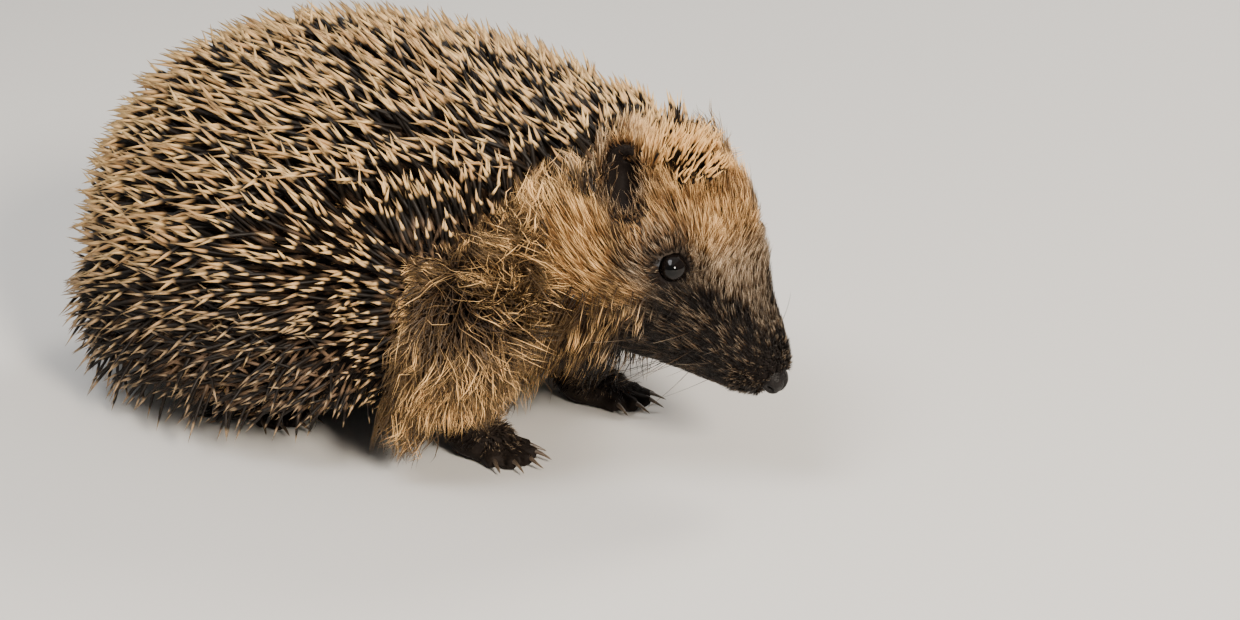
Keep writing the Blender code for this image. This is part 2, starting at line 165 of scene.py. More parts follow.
def remesh(piece, voxel):
    even = piece.modifiers.new("even", "REMESH")
    even.mode = "VOXEL"
    even.voxel_size = voxel
    even.use_smooth_shade = True
    made = bpy.data.meshes.new_from_object(piece.evaluated_get(bpy.context.evaluated_depsgraph_get()))
    piece.modifiers.clear()
    old, piece.data = piece.data, made
    bpy.data.meshes.remove(old)


def smoothed(values, edges, rounds, share, hold=None):  # averages with the neighbours, less where held
    count = len(values)
    rows = values.reshape(count, -1)
    ends = np.concatenate([edges[:, 0], edges[:, 1]])
    others = np.concatenate([edges[:, 1], edges[:, 0]])
    degree = np.maximum(np.bincount(ends, minlength=count), 1)[:, None]
    strength = share if hold is None else share * (1 - hold)[:, None]
    for _ in range(rounds):
        mean = np.stack([np.bincount(ends, rows[others, k], count) for k in range(rows.shape[1])], 1) / degree
        rows = rows + (mean - rows) * strength
    return rows.reshape(values.shape)


pose = {"headPitch": 47.0, "headTurn": 6.0, "noseDepth": 0.0040}
headWay = Matrix.Rotation(-math.radians(pose["headTurn"]), 3, "Z") @ Matrix.Rotation(
    math.radians(pose["headPitch"]), 3, "Y")
headAxes = np.array(headWay)  # columns: forward, left, up
headForward, headUp = headAxes[:, 0], headAxes[:, 2]
noseTip = boxCentre("nose") + headAxes @ np.array([pose["noseDepth"], 0, 0])


def inHead(places):  # x forward from the nose tip, y left, z up
    return (places - noseTip) @ headAxes


eyeValues = {
    "gaze": (0.30, 0.86, 0.40),                # forward, outward and up in the head
    "sink": {"left": 0.0011, "right": 0.0},    # the left eye lies a little deeper in its fur
    "corneaReach": 38.0, "corneaRise": 0.06,   # degrees round the gaze, share of the radius
}


def eyeOf(side):
    low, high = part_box("eye_" + side)
    gaze = headAxes @ (np.array(eyeValues["gaze"]) * [1, sides[side], 1])
    gaze = gaze / np.linalg.norm(gaze)
    return {"centre": boxCentre("eye_" + side) - gaze * eyeValues["sink"][side], "gaze": gaze,
            "radius": min(high - low) / 2}


eyes = {side: eyeOf(side) for side in sides}
eyeCentres = {side: eyes[side]["centre"] for side in sides}
ears = {side: boxCentre("ear_" + side) for side in sides}
earShape = {
    "up": (-0.78, 0.08, 0.72), "opens": (0.55, 0.80, 0.25),   # the left ear's axes in the head
    "halfHeight": 0.0092, "halfWidth": 0.0048, "drop": 0.0020, "hollow": 0.0030, "hollowDrop": 0.10,
    "foot": 0.25, "height": {"left": 0.42, "right": 0.80},   # of the solid's; the left ear is laid back
}


def sideOf(places):
    return np.where(places[:, 1] > 0, 1.0, -1.0)


def bySide(places, pair):
    return np.where(places[:, 1:2] > 0, pair["left"], pair["right"])


def earAxis(name, places):  # an axis of the nearer ear
    sign = sideOf(places)
    flip = np.stack([np.ones(len(sign)), sign, np.ones(len(sign))], 1)
    return unit((np.array([earShape[name]]) * flip) @ headAxes.T)


def inEar(places):  # place on the nearer ear, in half widths and half heights, and how far out it stands
    up, opens = earAxis("up", places), earAxis("opens", places)
    opens = unit(opens - up * np.sum(opens * up, 1, keepdims=True))
    away = places - bySide(places, ears) + up * earShape["drop"]
    across = np.cross(up, opens)
    return np.stack([np.sum(away * across, 1) / earShape["halfWidth"],
                     np.sum(away * up, 1) / earShape["halfHeight"], np.sum(away * opens, 1)], 1), opens


def clawLine(name, paw):  # root, middle and tip of a claw
    places = np.array([v.co for v in nodes[name].data.vertices])
    order = places[np.argsort(distance(places, boxCentre(paw)))]
    third = max(3, len(places) // 3)
    return order[:third].mean(0), order[third:2 * third].mean(0), order[-1]


clawLines = {name: clawLine(name, paw) for paw in pawNodes for name in clawsOf[paw]}
clawRoots = np.array([line[0] for line in clawLines.values()])

skinValues = {
    "swell": 0.00035,        # closes the thin cuts between the solids
    "earSwell": 0.00075,
    "firstVoxel": 0.0010, "lastVoxel": 0.00122,
    "thickShare": 0.36,      # the most of the local thickness that the coat takes
    "fineHead": 0.047,       # how far behind the nose tip the mesh is halved
    "fineEye": 0.0065, "fineToe": 0.0072,
    "underLid": 0.0002,      # the skin comes up to the lids
    "collar": 0.0017,        # how far the muzzle closes forward round the nose
    "floorGap": 0.0001,
}
# the coat's depth on each part: the least, how much more higher up, and the heights between which it grows
coatDepths = {
    "trunk": (0.0055, 0.0055, 0.014, 0.040), "neck": (0.0042, 0.0050, 0.050, 0.070),
    "belly": (0.0030, 0.0, 0.0, 1.0), "tail": (0.0008, 0.0, 0.0, 1.0), "ear": (0.0001, 0.0, 0.0, 1.0),
    "fore_leg": (0.0014, 0.0034, 0.016, 0.030), "hind_leg": (0.0010, 0.0026, 0.010, 0.022),
    "fore_paw": (0.00025, 0.0, 0.0, 1.0), "hind_paw": (0.00025, 0.0, 0.0, 1.0),
}
faceDepths = {"nose": 0.0003, "muzzle": 0.0009, "cheek": 0.0012, "crown": 0.0080, "brow": 0.0060,
              "browWidth": 0.017}
holdShares = {"paw": 0.85, "muzzle": 0.75, "eye": 0.95, "ear": 0.9}


def joinFlesh():
    places, faces, owners = [], [], []
    start = 0
    for number, name in enumerate(fleshNodes):
        own, _ = meshArrays(nodes[name].data)
        corners = meshTriangles(nodes[name].data)
        if name in earNodes:
            low, high = own[:, 2].min(), own[:, 2].max()
            foot = low + earShape["foot"] * (high - low)
            share = earShape["height"][name.replace("ear_", "")]
            own[:, 2] = np.where(own[:, 2] > foot, foot + (own[:, 2] - foot) * share, own[:, 2])
        # the imported mesh splits its corners: give each place one normal
        keys = np.round(own * 1e6).astype(np.int64)
        _, first, back = np.unique(keys, axis=0, return_index=True, return_inverse=True)
        back = back.ravel()
        across = np.cross(own[corners[:, 1]] - own[corners[:, 0]], own[corners[:, 2]] - own[corners[:, 0]])
        summed = np.zeros((len(first), 3))
        for k in range(3):
            np.add.at(summed, back[corners[:, k]], across)
        swell = skinValues["earSwell" if name in earNodes else "swell"]
        places.append(own[first] + unit(summed) * swell)
        faces.append(back[corners] + start)
        owners.append(np.full(len(corners), number))
        start += len(first)
    return np.concatenate(places), np.concatenate(faces), np.concatenate(owners)


def ownersOf(places, tree, owners):
    return np.array([owners[tree.find_nearest(Vector(p))[2]] for p in places])


def owned(owner, names):  # 1 where the skin belongs to one of these nodes
    return np.isin(owner, [fleshNodes.index(name) for name in names]).astype(float)


def coatDepth(places, owner):  # how far the skin lies under the tips of the coat
    head = inHead(places)
    back, height = -head[:, 0], head[:, 2]
    crown = ramp(back, 0.043, 0.056) * ramp(height, 0.004, 0.014)
    brow = bell(head[:, 1], faceDepths["browWidth"]) * ramp(height, 0.005, 0.012)
    brow *= ramp(back, 0.009, 0.023) * ramp(back, 0.048, 0.040)
    depth = faceDepths["nose"] + faceDepths["muzzle"] * ramp(back, 0.006, 0.024)
    depth = depth + faceDepths["cheek"] * ramp(back, 0.022, 0.040) + faceDepths["crown"] * crown
    depth = depth + faceDepths["brow"] * brow
    for part, (least, more, low, high) in coatDepths.items():
        names = [name for name in fleshNodes if name.startswith(part)]
        depth = np.where(owned(owner, names) > 0, least + more * ramp(places[:, 2], low, high), depth)
    return depth


def heldShare(places, owner):  # 1 where smoothing has to leave the form alone
    muzzle = ramp(-inHead(places)[:, 0], 0.026, 0.010) * owned(owner, ["head", "lower_jaw"])
    hold = np.maximum(holdShares["paw"] * owned(owner, pawNodes), holdShares["muzzle"] * muzzle)
    for centre in eyeCentres.values():
        hold = np.maximum(hold, bell(distance(places, centre), 0.0060) * holdShares["eye"])
    return np.maximum(hold, holdShares["ear"] * owned(owner, earNodes))


def hitDistance(tree, place, way, lead=0.0004, most=0.08):
    hit = tree.ray_cast(Vector(place) + Vector(way) * lead, Vector(way), most)
    return hit[3] + lead if hit[0] is not None else most


def buildSkin():
    places, faces, owners = joinFlesh()
    tree = BVHTree.FromPolygons([Vector(p) for p in places], faces.tolist())
    skin = makeObject("skin", makeMesh("skin", places, faces))
    remesh(skin, skinValues["firstVoxel"])
    outer, _ = meshArrays(skin.data)
    owner = ownersOf(outer, tree, owners)
    edges = meshEdges(skin.data)
    hold = smoothed(heldShare(outer, owner), edges, 3, 0.5)
    outer = smoothed(outer, edges, 26, 0.5, hold)
    setPlaces(skin.data, outer)
    _, normals = meshArrays(skin.data)
    normals = unit(smoothed(normals, edges, 6, 0.5))
    depth = coatDepth(outer, owner)
    for side, centre in eyeCentres.items():
        near = bell(distance(outer, centre), 0.0062)
        depth = blend(depth, skinValues["underLid"] + eyeValues["sink"][side], near)
    depth = smoothed(depth, edges, 12, 0.5)
    outerTree = BVHTree.FromObject(skin, bpy.context.evaluated_depsgraph_get())
    thick = np.array([hitDistance(outerTree, p, -n) for p, n in zip(outer, normals)])
    depth = smoothed(np.minimum(depth, thick * skinValues["thickShare"]), edges, 8, 0.5)
    setPlaces(skin.data, smoothed(outer - normals * depth[:, None], edges, 4, 0.4, hold))
    remesh(skin, skinValues["lastVoxel"])
    setPlaces(skin.data, smoothed(meshArrays(skin.data)[0], meshEdges(skin.data), 2, 0.4))
    return skin, tree, owners, outerTree


def nearFace(places):
    head = inHead(places)
    return (-head[:, 0] < skinValues["fineHead"]) & (np.abs(head[:, 1]) < 0.04) & (head[:, 2] > -0.035)


def nearEyes(places):
    return nearest(places, eyeCentres.values()) < skinValues["fineEye"]


def nearToes(places):
    return nearest(places, clawRoots) < skinValues["fineToe"]


def halve(skin, inside):  # a finer mesh where the middles of the edges lie inside
    form = bmesh.new()
    form.from_mesh(skin.data)
    picked = inside(np.array([(e.verts[0].co + e.verts[1].co) / 2 for e in form.edges]))
    bmesh.ops.subdivide_edges(form, edges=[e for e, pick in zip(form.edges, picked) if pick], cuts=1,
                              use_grid_fill=True, smooth=0.0)
    form.to_mesh(skin.data)
    form.free()


lidValues = {
    "long": 54, "high": 44,    # degrees from the gaze at which the lids end, along the head and across it
    "thick": 1.035, "roll": 0.15, "behind": 0.86, "meet": 1.02,   # of the eye's radius
    "rollAt": 10, "rollWidth": 9, "rimAt": 5, "rimWidth": 5,   # degrees past the edge
}


def shapeFace(skin):  # lids round the eyes and a collar round the nose
    places, _ = meshArrays(skin.data)
    back = -inHead(places)[:, 0]
    hold = 1 - ramp(back, skinValues["fineHead"] + 0.006, skinValues["fineHead"] - 0.004)
    places = smoothed(places, meshEdges(skin.data), 3, 0.5, hold)
    rim = np.zeros(len(places))
    for eye in eyes.values():
        centre, radius, gaze = eye["centre"], eye["radius"], eye["gaze"]
        level = unit(headForward - gaze * (headForward @ gaze))
        away = places - centre
        reach = np.linalg.norm(away, axis=1)
        tilt = np.degrees(np.arccos(np.clip(unit(away) @ gaze, -1, 1)))
        across = unit(np.stack([away @ level, away @ np.cross(gaze, level)], 1))
        # the slit between the lids is longer along the head than across it
        past = tilt - (lidValues["long"] * across[:, 0] ** 2 + lidValues["high"] * across[:, 1] ** 2)
        roll = bell(past - lidValues["rollAt"], lidValues["rollWidth"])
        lid = lidValues["thick"] + lidValues["roll"] * roll
        inner = blend(lidValues["behind"], lidValues["meet"], ramp(past, -8, 0))
        target = radius * np.where(past > 0, lid, inner)
        share = ramp(reach, radius * 2.1, radius * 1.25) * ramp(tilt, 100, 78)
        share = np.where(past <= 0, reach < radius * 2.4, share)
        places = centre + unit(away) * blend(reach, target, share)[:, None]
        edge = bell(past - lidValues["rimAt"], lidValues["rimWidth"]) * (reach < radius * 2.2)
        rim = np.maximum(rim, edge * blend(0.35, 1.0, ramp(across[:, 1], 0.4, -0.4)))
    local = inHead(places) - inHead(boxCentre("nose")[None])
    around = np.linalg.norm(local[:, 1:], axis=1)
    push = skinValues["collar"] * bell(around - 0.0036, 0.0016) * ramp(local[:, 0], -0.0070, -0.0025)
    setPlaces(skin.data, places + push[:, None] * headForward)
    return rim


def hollowEars(skin):
    places, _ = meshArrays(skin.data)
    local, opens = inEar(places)
    reach = np.linalg.norm(local[:, :2] + [0.0, earShape["hollowDrop"]], axis=1)
    depth = earShape["hollow"] * ramp(reach, 0.80, 0.15) * (np.abs(local[:, 2]) < 0.0060)
    places = places - opens * depth[:, None]
    setPlaces(skin.data, smoothed(places, meshEdges(skin.data), 2, 0.4, (reach >= 1.1) * 1.0))


toeValues = {"reach": 0.0058, "fade": 0.0074, "cast": 0.0060, "under": 0.00010, "deepest": 0.0012,
             "rise": 0.0005, "fold": 0.00075, "foldWidth": 0.0010, "cover": 0.00055, "coverWidth": 0.0016}


def shapeToes(skin):  # draws the skin out over the toes and into the folds between them
    places, _ = meshArrays(skin.data)
    near = nearest(places, clawRoots)
    owner = np.argmin([distance(places, boxCentre(paw)) for paw in pawNodes], 0)
    moved = np.zeros(len(places))
    for number, paw in enumerate(pawNodes):
        solid, _ = meshArrays(nodes[paw].data)
        tree = BVHTree.FromPolygons([Vector(p) for p in solid], meshTriangles(nodes[paw].data).tolist())
        middle = boxCentre(paw) + np.array([0.0, 0.0, toeValues["rise"]])
        for i in np.where((near < toeValues["fade"]) & (owner == number))[0]:
            way = unitOf(places[i] - middle)
            outside = Vector(places[i] + way * toeValues["cast"])
            hit = tree.ray_cast(outside, Vector(-way), toeValues["cast"] * 2)
            if hit[0] is None:
                continue
            push = (np.array(hit[0]) - places[i]) @ way - toeValues["under"]
            if push > -toeValues["deepest"]:
                moved[i] = ramp(near[i], toeValues["fade"], toeValues["reach"])
                places[i] = places[i] + way * push * moved[i]
    places = smoothed(places, meshEdges(skin.data), 1, 0.4, 1 - moved)
    away = np.sort([distance(places, root) for root in clawRoots], 0)
    fold = toeValues["fold"] * bell(away[1] - away[0], toeValues["foldWidth"]) * ramp(away[0], 0.0075, 0.0050)
    fold *= ramp(places[:, 2], 0.0006, 0.0016)
    cover = toeValues["cover"] * bell(away[0], toeValues["coverWidth"])
    _, normals = meshArrays(skin.data)
    places = smoothed(places + normals * (cover - fold)[:, None], meshEdges(skin.data), 1, 0.3, 1 - moved)
    places[:, 2] = np.maximum(places[:, 2], skinValues["floorGap"])
    setPlaces(skin.data, places)


skin, cadTree, cadOwners, outerTree = buildSkin()
for inside in (nearFace, nearEyes, nearToes, nearToes):
    halve(skin, inside)
lidRim = shapeFace(skin)
hollowEars(skin)
shapeToes(skin)
print("skin:", len(skin.data.polygons), "faces")

roomValues = {"least": 0.0003, "most": 0.0125, "byToes": 0.0008, "toeReach": 0.0085}
skinPlaces, skinNormals = meshArrays(skin.data)
skinOwner = ownersOf(skinPlaces, cadTree, cadOwners)
skinRoom = np.array([hitDistance(outerTree, p, n) for p, n in zip(skinPlaces, skinNormals)])
byToes = nearest(skinPlaces, clawRoots) < roomValues["toeReach"]
skinRoom = np.clip(skinRoom, roomValues["least"], np.where(byToes, roomValues["byToes"], roomValues["most"]))
skinRoom = smoothed(skinRoom, meshEdges(skin.data), 6, 0.5)
skinTips = skinPlaces + skinNormals * skinRoom[:, None]  # where the coat's tips lie
triangles = meshTriangles(skin.data)
corner = skinPlaces[triangles]
triangleArea = np.linalg.norm(np.cross(corner[:, 1] - corner[:, 0], corner[:, 2] - corner[:, 0]), axis=1) / 2

# the edge between spines and fur on the flanks: for each height, how far forward the spines reach
edgeHeights = [0.006, 0.010, 0.018, 0.026, 0.041, 0.0473, 0.0508, 0.0544, 0.0598, 0.0635, 0.0658, 0.0680,
               0.0695, 0.0740]
edgeReaches = [0.010, 0.012, 0.015, 0.0165, 0.0178, 0.0187, 0.0228, 0.0269, 0.0320, 0.0380, 0.0439, 0.0493,
               0.0560, 0.0760]
crownEdge = {"middle": 0.0440, "slope": 0.50}   # behind the nose tip, and more to the sides
# where the fur of the shoulder parts
whorls = {side: np.array([0.0335, sign * 0.0440, 0.0465]) for side, sign in sides.items()}


def earDistance(places):
    return nearest(places, ears.values())


def eyeDistance(places):
    return nearest(places, eyeCentres.values())


def pastEdge(tips):  # how far before the edge of the spines, below 0 behind it
    return tips[:, 0] - np.interp(tips[:, 2], edgeHeights, edgeReaches)


def earCover(places):  # 1 over the opening of an ear
    local, _ = inEar(places)
    return ramp(np.linalg.norm(local[:, :2], axis=1), 1.0, 0.8) * (np.abs(local[:, 2]) < 0.010)


def layFlat(places):  # share of its length that a hair keeps: less by the ear that is laid back
    return 1 - 0.62 * ramp(distance(places, ears["left"]), 0.0190, 0.0110)


def headShare(tips, farBack, nearBack):  # 1 on the head, 0 on the neck and the shoulders
    head = inHead(tips)
    return (ramp(-head[:, 0], farBack, nearBack) * ramp(np.abs(head[:, 1]), 0.0365, 0.0315)
            * ramp(head[:, 2], -0.036, -0.028))


def capShare(tips):  # 1 on the patch of fine upright hair above each ear
    away = tips - bySide(tips, ears)
    reach = np.linalg.norm(away * [1.0, 1.25, 0.8], axis=1)
    smaller = np.where(tips[:, 1] > 0, ramp(reach, 0.0130, 0.0110), 1.0)   # round the ear that is laid back
    return (ramp(reach, 0.0185, 0.0155) * ramp(away[:, 2], 0.000, 0.004) * ramp(away[:, 0], -0.0060, -0.0020)
            * ramp(np.abs(inHead(tips)[:, 1]), 0.0080, 0.0100) * smaller)


def spineShare(tips):  # 1 where spines grow, 0 where fur does
    head = inHead(tips)
    behind = -head[:, 0] - np.abs(head[:, 1]) * crownEdge["slope"] - crownEdge["middle"]
    crown = ramp(behind, -0.0008, 0.0008) * ramp(head[:, 2], 0.006, 0.010)
    flank = ramp(pastEdge(tips), 0.0012, -0.0012) * ramp(tips[:, 2], 0.0035, 0.0055)
    share = np.where(headShare(tips, 0.070, 0.064) > 0.5, crown, flank)
    return share * ramp(earDistance(tips), 0.0092, 0.0104) * (1 - capShare(tips))


def frontShare(tips):  # 1 close to the fur, where the spines are short and stand up, 0 over the back
    return ramp(pastEdge(tips), -0.066, -0.008)


maskHeights = [-0.014, -0.004, 0.003, 0.007, 0.010, 0.014]   # above the nose's own line
maskReaches = [0.0255, 0.0275, 0.0290, 0.0270, 0.0200, 0.0120]   # how far back the dark mask goes there
furrowHeights = [0.0278, 0.0370, 0.0480, 0.0600]   # the crease from the ear to the throat, darkened with painted shade
furrowReaches = [0.0470, 0.0585, 0.0660, 0.0625]
# how dark each area is: low, rear and the crease are painted shade, chin and throat partly
maskShares = {"ridge": 0.45, "eye": 0.9, "socket": 0.42, "ear": 0.22, "chin": 0.45, "furrowShade": 0.62,
              "low": 0.75, "rear": 0.85, "throat": 0.78}
greyShares = {"brow": 0.95, "belly": 0.8, "ear": 0.75, "socket": 0.9}


def markings(tips):  # dark mask, grey share and light share, each 0 to 1; the mask holds painted shade as well as dark fur
    head = inHead(tips)
    back, across, height = -head[:, 0], np.abs(head[:, 1]), head[:, 2]
    ahead, aside, up = tips[:, 0], np.abs(tips[:, 1]), tips[:, 2]
    onHead = headShare(tips, 0.074, 0.060)
    reach = np.interp(height, maskHeights, maskReaches)
    ridge = ramp(across, 0.0065, 0.0025) * ramp(height, 0.001, 0.005) * ramp(back, 0.005, 0.012)
    mask = ramp(back, reach + 0.006, reach - 0.005) * onHead * (1 - maskShares["ridge"] * ridge)
    # painted shade along the crease from the ear to the throat
    furrowShade = bell(ahead - np.interp(up, furrowHeights, furrowReaches), 0.0030)
    furrowShade *= ramp(up, 0.0640, 0.0600) * ramp(up, 0.022, 0.028) * ramp(aside, 0.012, 0.018)
    dark = {
        "eye": ramp(eyeDistance(tips + headUp * 0.0012 - headForward * 0.0008), 0.0060, 0.0038),
        "socket": ramp(eyeDistance(tips - headForward * 0.0015 - headUp * 0.0010), 0.0125, 0.0065),
        "ear": ramp(earDistance(tips), 0.0120, 0.0085),
        # chin: darker under the head, partly the chin's own dark fur and partly painted shade
        "chin": ramp(height, -0.014, -0.026) * onHead,
        "furrowShade": furrowShade,
        # low and rear: painted shade, darker near the ground and over the rear of the flanks
        "low": ramp(up, 0.016, 0.004) * (1 - onHead),
        "rear": ramp(ahead, 0.018, 0.006) * ramp(up, 0.048, 0.026),
    }
    for name, area in dark.items():
        mask = np.maximum(mask, maskShares[name] * area)
    # darker on the throat, partly its own dark fur and partly painted shade under the head
    throat = ramp(ahead, 0.036, 0.046) * ramp(up, 0.040, 0.030) * (1 - mask)
    mask = mask + maskShares["throat"] * throat
    brow = ramp(back, 0.036, 0.026) * ramp(height, -0.004, 0.002)
    brow = np.maximum(brow, ramp(back, 0.031, 0.027)) * onHead
    belly = ramp(up, 0.022, 0.010) * ramp(aside, 0.045, 0.030)
    grey = np.max([greyShares["brow"] * brow, greyShares["belly"] * belly, greyShares["ear"] * dark["ear"],
                   greyShares["socket"] * dark["socket"]], 0)
    light = ramp(height, 0.010, 0.017) * onHead * ramp(back, 0.020, 0.034)
    return {"mask": np.clip(mask, 0, 1), "grey": np.clip(grey, 0, 1), "light": np.clip(light, 0, 1)}


def flat(ways, normals):  # the part of each way that lies along the skin
    return unit(ways - normals * np.sum(ways * normals, 1, keepdims=True))


lieWays = {name: np.array(way) for name, way in {
    "low": (-0.10, 0, -0.8), "throat": (0.12, 0, -1.0), "nape": (-0.25, 0, 1.0), "rear": (-0.8, 0, -0.55),
    "cheek": (0, 0, 0.85), "under": (-1.0, 0, -0.10), "spine": (-1.0, 0, 0), "spineLow": (0, 0, -0.55),
    "spineFront": (-0.22, 0, 0.9)}.items()}
whorlJitter = 0.0028


def furLie(tips, normals):  # the way that the hairs point, before their lift
    head = inHead(tips)
    ahead, up = tips[:, :1], tips[:, 2:]
    onHead = headShare(tips, 0.066, 0.054)[:, None]
    away = tips - bySide(tips, whorls)
    radial = unit(away + chance.normal(0, whorlJitter, away.shape))
    way = blend(radial, radial * 0.5 + lieWays["low"], ramp(up, 0.030, 0.014))
    way = blend(way, lieWays["throat"], ramp(ahead, 0.036, 0.047) * ramp(up, 0.058, 0.048))
    way = blend(way, lieWays["nape"], ramp(ahead, 0.034, 0.047) * ramp(up, 0.047, 0.060))
    way = blend(way, lieWays["rear"], ramp(ahead, 0.012, -0.012))
    cheek = ramp(-head[:, :1], 0.033, 0.046)
    cheek = cheek * ramp(head[:, 2:], 0.014, 0.006) * ramp(head[:, 2:], -0.016, -0.008)
    way = blend(way, lieWays["cheek"] * cheek - headForward, onHead)
    leftOne = tips[:, 1:2] > eyeCentres["right"][1] + 0.015
    fromEye = tips - np.where(leftOne, eyeCentres["left"], eyeCentres["right"])
    byEye = ramp(np.linalg.norm(fromEye, axis=1), 0.0070, 0.0042)[:, None]
    way = blend(way, unit(fromEye), 0.85 * byEye)
    under = ramp(normals[:, 2:], -0.40, -0.80) * (1 - onHead)
    return flat(blend(way, lieWays["under"], under), normals)


def spineLie(tips, normals):  # back and down along the flanks, upright next to the fur
    outward, up = tips * [0, 1, 0] / 0.058, tips[:, 2:]
    way = lieWays["spine"] + outward * 0.25 + lieWays["spineLow"] * ramp(up, 0.050, 0.015)
    front = frontShare(tips)[:, None] * ramp(up, 0.040, 0.060)
    return flat(blend(way, lieWays["spineFront"], front), normals)


def spread(places, spacing):  # drops the roots that come too near to one already kept
    cells, kept = {}, []
    keys = np.floor(places / spacing).astype(int)
    steps = [(x, y, z) for x in (-1, 0, 1) for y in (-1, 0, 1) for z in (-1, 0, 1)]
    for i, (place, key) in enumerate(zip(places, keys)):
        near = [j for x, y, z in steps for j in cells.get((key[0] + x, key[1] + y, key[2] + z), ())]
        if near and (np.sum((places[near] - place) ** 2, 1) < spacing * spacing).any():
            continue
        cells.setdefault(tuple(key), []).append(i)
        kept.append(i)
    return np.array(kept)


def scatter(count, weight, spacing=0.0):  # roots spread over the skin by a weight for each vertex
    share = triangleArea * weight[triangles].mean(1)
    picked = chance.choice(len(share), count, p=share / share.sum())
    a, b = np.sqrt(chance.random(count)), chance.random(count)
    mix = np.stack([1 - a, a * (1 - b), a * b], 1)
    if spacing:
        kept = spread((skinPlaces[triangles[picked]] * mix[:, :, None]).sum(1), spacing)
        picked, mix = picked[kept], mix[kept]
    at = triangles[picked]
    rows = (skinPlaces, skinTips, skinNormals)
    places, tips, normals = [(values[at] * mix[:, :, None]).sum(1) for values in rows]
    return {"places": places, "tips": tips, "normals": unit(normals), "room": (skinRoom[at] * mix).sum(1)}


def unwrap(places, normals):  # six charts by the way the skin faces, side by side
    low, high = places.min(0), places.max(0)
    share = (places - low) / np.maximum(high - low, 1e-6)
    axis = np.abs(normals).argmax(1)
    sign = normals[np.arange(len(normals)), axis] > 0
    first = np.where(axis == 0, share[:, 1], share[:, 0])
    second = np.where(axis == 2, share[:, 1], share[:, 2])
    return np.stack([(axis + 0.02 + 0.96 * first) / 3, (sign + 0.02 + 0.96 * second) / 2], 1)


def tubeFaces(rings, around):  # one strand: its sides, its pointed tip and its closed foot
    faces, tip = [], rings * around
    for r in range(rings - 1):
        for k in range(around):
            a, b = r * around + k, r * around + (k + 1) % around
            faces += [[a, b, b + around], [a, b + around, a + around]]
    last = tip - around
    faces += [[last + k, last + (k + 1) % around, tip] for k in range(around)]
    return np.array(faces + [[0, k + 1, k] for k in range(1, around - 1)])


def strandPaths(roots, start, end, length, sideways, across, rings, wave, turns):
    count, steps = len(roots["places"]), np.linspace(0, 1, rings + 1)
    phases = 2 * math.pi * chance.random((2, count, 1))
    swing = wave * (0.3 + 1.4 * chance.random((count, 1))) * length[:, None]
    spin = 2 * math.pi * turns * (0.6 + 0.8 * chance.random((count, 1)))
    path = []
    for t in steps:
        place = roots["places"] + length[:, None] * (start * (t - t * t / 2) + end * (t * t / 2))
        for way, phase, share in ((sideways, phases[0], 1.0), (across, phases[1], 0.5)):
            place = place + way * swing * share * (np.sin(spin * t + phase) - np.sin(phase)) * min(1, 2 * t)
        path.append(place)
    return np.stack(path, 1), steps


def clumped(path, places, steps, clump, guides, lock):  # draws each strand's tip to the nearest leader's
    count = len(places)
    leaders = chance.choice(count, guides, replace=False)
    tree = KDTree(guides)
    for k, i in enumerate(leaders):
        tree.insert(Vector(places[i]), k)
    tree.balance()
    leader = leaders[[tree.find(Vector(p))[1] for p in places]]
    pull = clump * (0.4 + 1.2 * chance.random((count, 1, 1))) * (steps ** 1.4)[None, :, None]
    return path + (path[leader] - path) * np.clip(pull, 0, 0.9), blend(lock, lock[leader], 0.55)


tuftPatch = 0.003  # how wide each tuft's place is on the unwrap
floorGap = 0.0004  # the least height of a strand over the ground


def strands(name, roots, start, end, length, width, profile, around=3, wave=0.0, turns=1.0, clump=0.0,
            guides=0):
    places, normals, rings = roots["places"], roots["normals"], len(profile)
    count = len(places)
    sideways = unit(np.cross(start, normals) + 1e-9)
    across = unit(np.cross(sideways, start))
    path, steps = strandPaths(roots, start, end, length, sideways, across, rings, wave, turns)
    lock = chance.random(count)
    if clump:
        path, lock = clumped(path, places, steps, clump, guides, lock)
    path[:, :, 2] = np.maximum(path[:, :, 2], floorGap)
    angles = np.arange(around)[None, :, None] * 2 * math.pi / around
    ring = sideways[:, None, :] * np.cos(angles) + across[:, None, :] * np.sin(angles)
    radius = (width / 2)[:, None] * np.array(profile)[None, :]
    tube = path[:, :rings, None, :] + ring[:, None, :, :] * radius[:, :, None, None]
    points = np.concatenate([tube.reshape(count, rings * around, 3), path[:, rings:, :]], 1)
    each = points.shape[1]
    faces = (tubeFaces(rings, around)[None] + (np.arange(count) * each)[:, None, None]).reshape(-1, 3)
    mesh = makeMesh(name, points.reshape(-1, 3), faces)
    along = np.concatenate([np.repeat(steps[:rings], around), [1.0]])
    addValue(mesh, "along", np.tile(along, count))
    for label, value in {**markings(roots["tips"]), "chance": lock}.items():
        addValue(mesh, label, np.repeat(value, each))
    u = np.concatenate([np.tile(np.arange(around) / (around - 1), rings), [0.5]])
    spot = (np.stack([u, along], 1) - 0.5)[None] * tuftPatch + unwrap(places, normals)[:, None, :]
    layer = mesh.uv_layers.new(name="OFBake")
    layer.data.foreach_set("uv", spot.reshape(-1, 2)[faces.ravel()].astype(np.float32).ravel())
    piece = makeObject(name, mesh)
    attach(piece, "root")
    print(name, count, "strands", len(faces), "triangles")
    return piece


def turned(ways, normals, degrees):  # each way turned about its normal
    angle = np.radians(degrees)[:, None]
    return ways * np.cos(angle) + np.cross(normals, ways) * np.sin(angle)


def lifted(ways, normals, degrees):
    angle = np.radians(degrees)[:, None]
    return ways * np.cos(angle) + normals * np.sin(angle)


def varied(value, shares, count):  # random sizes: the least share of the value, and how much more at most
    least, more = shares
    return value * (least + more * chance.random(count))


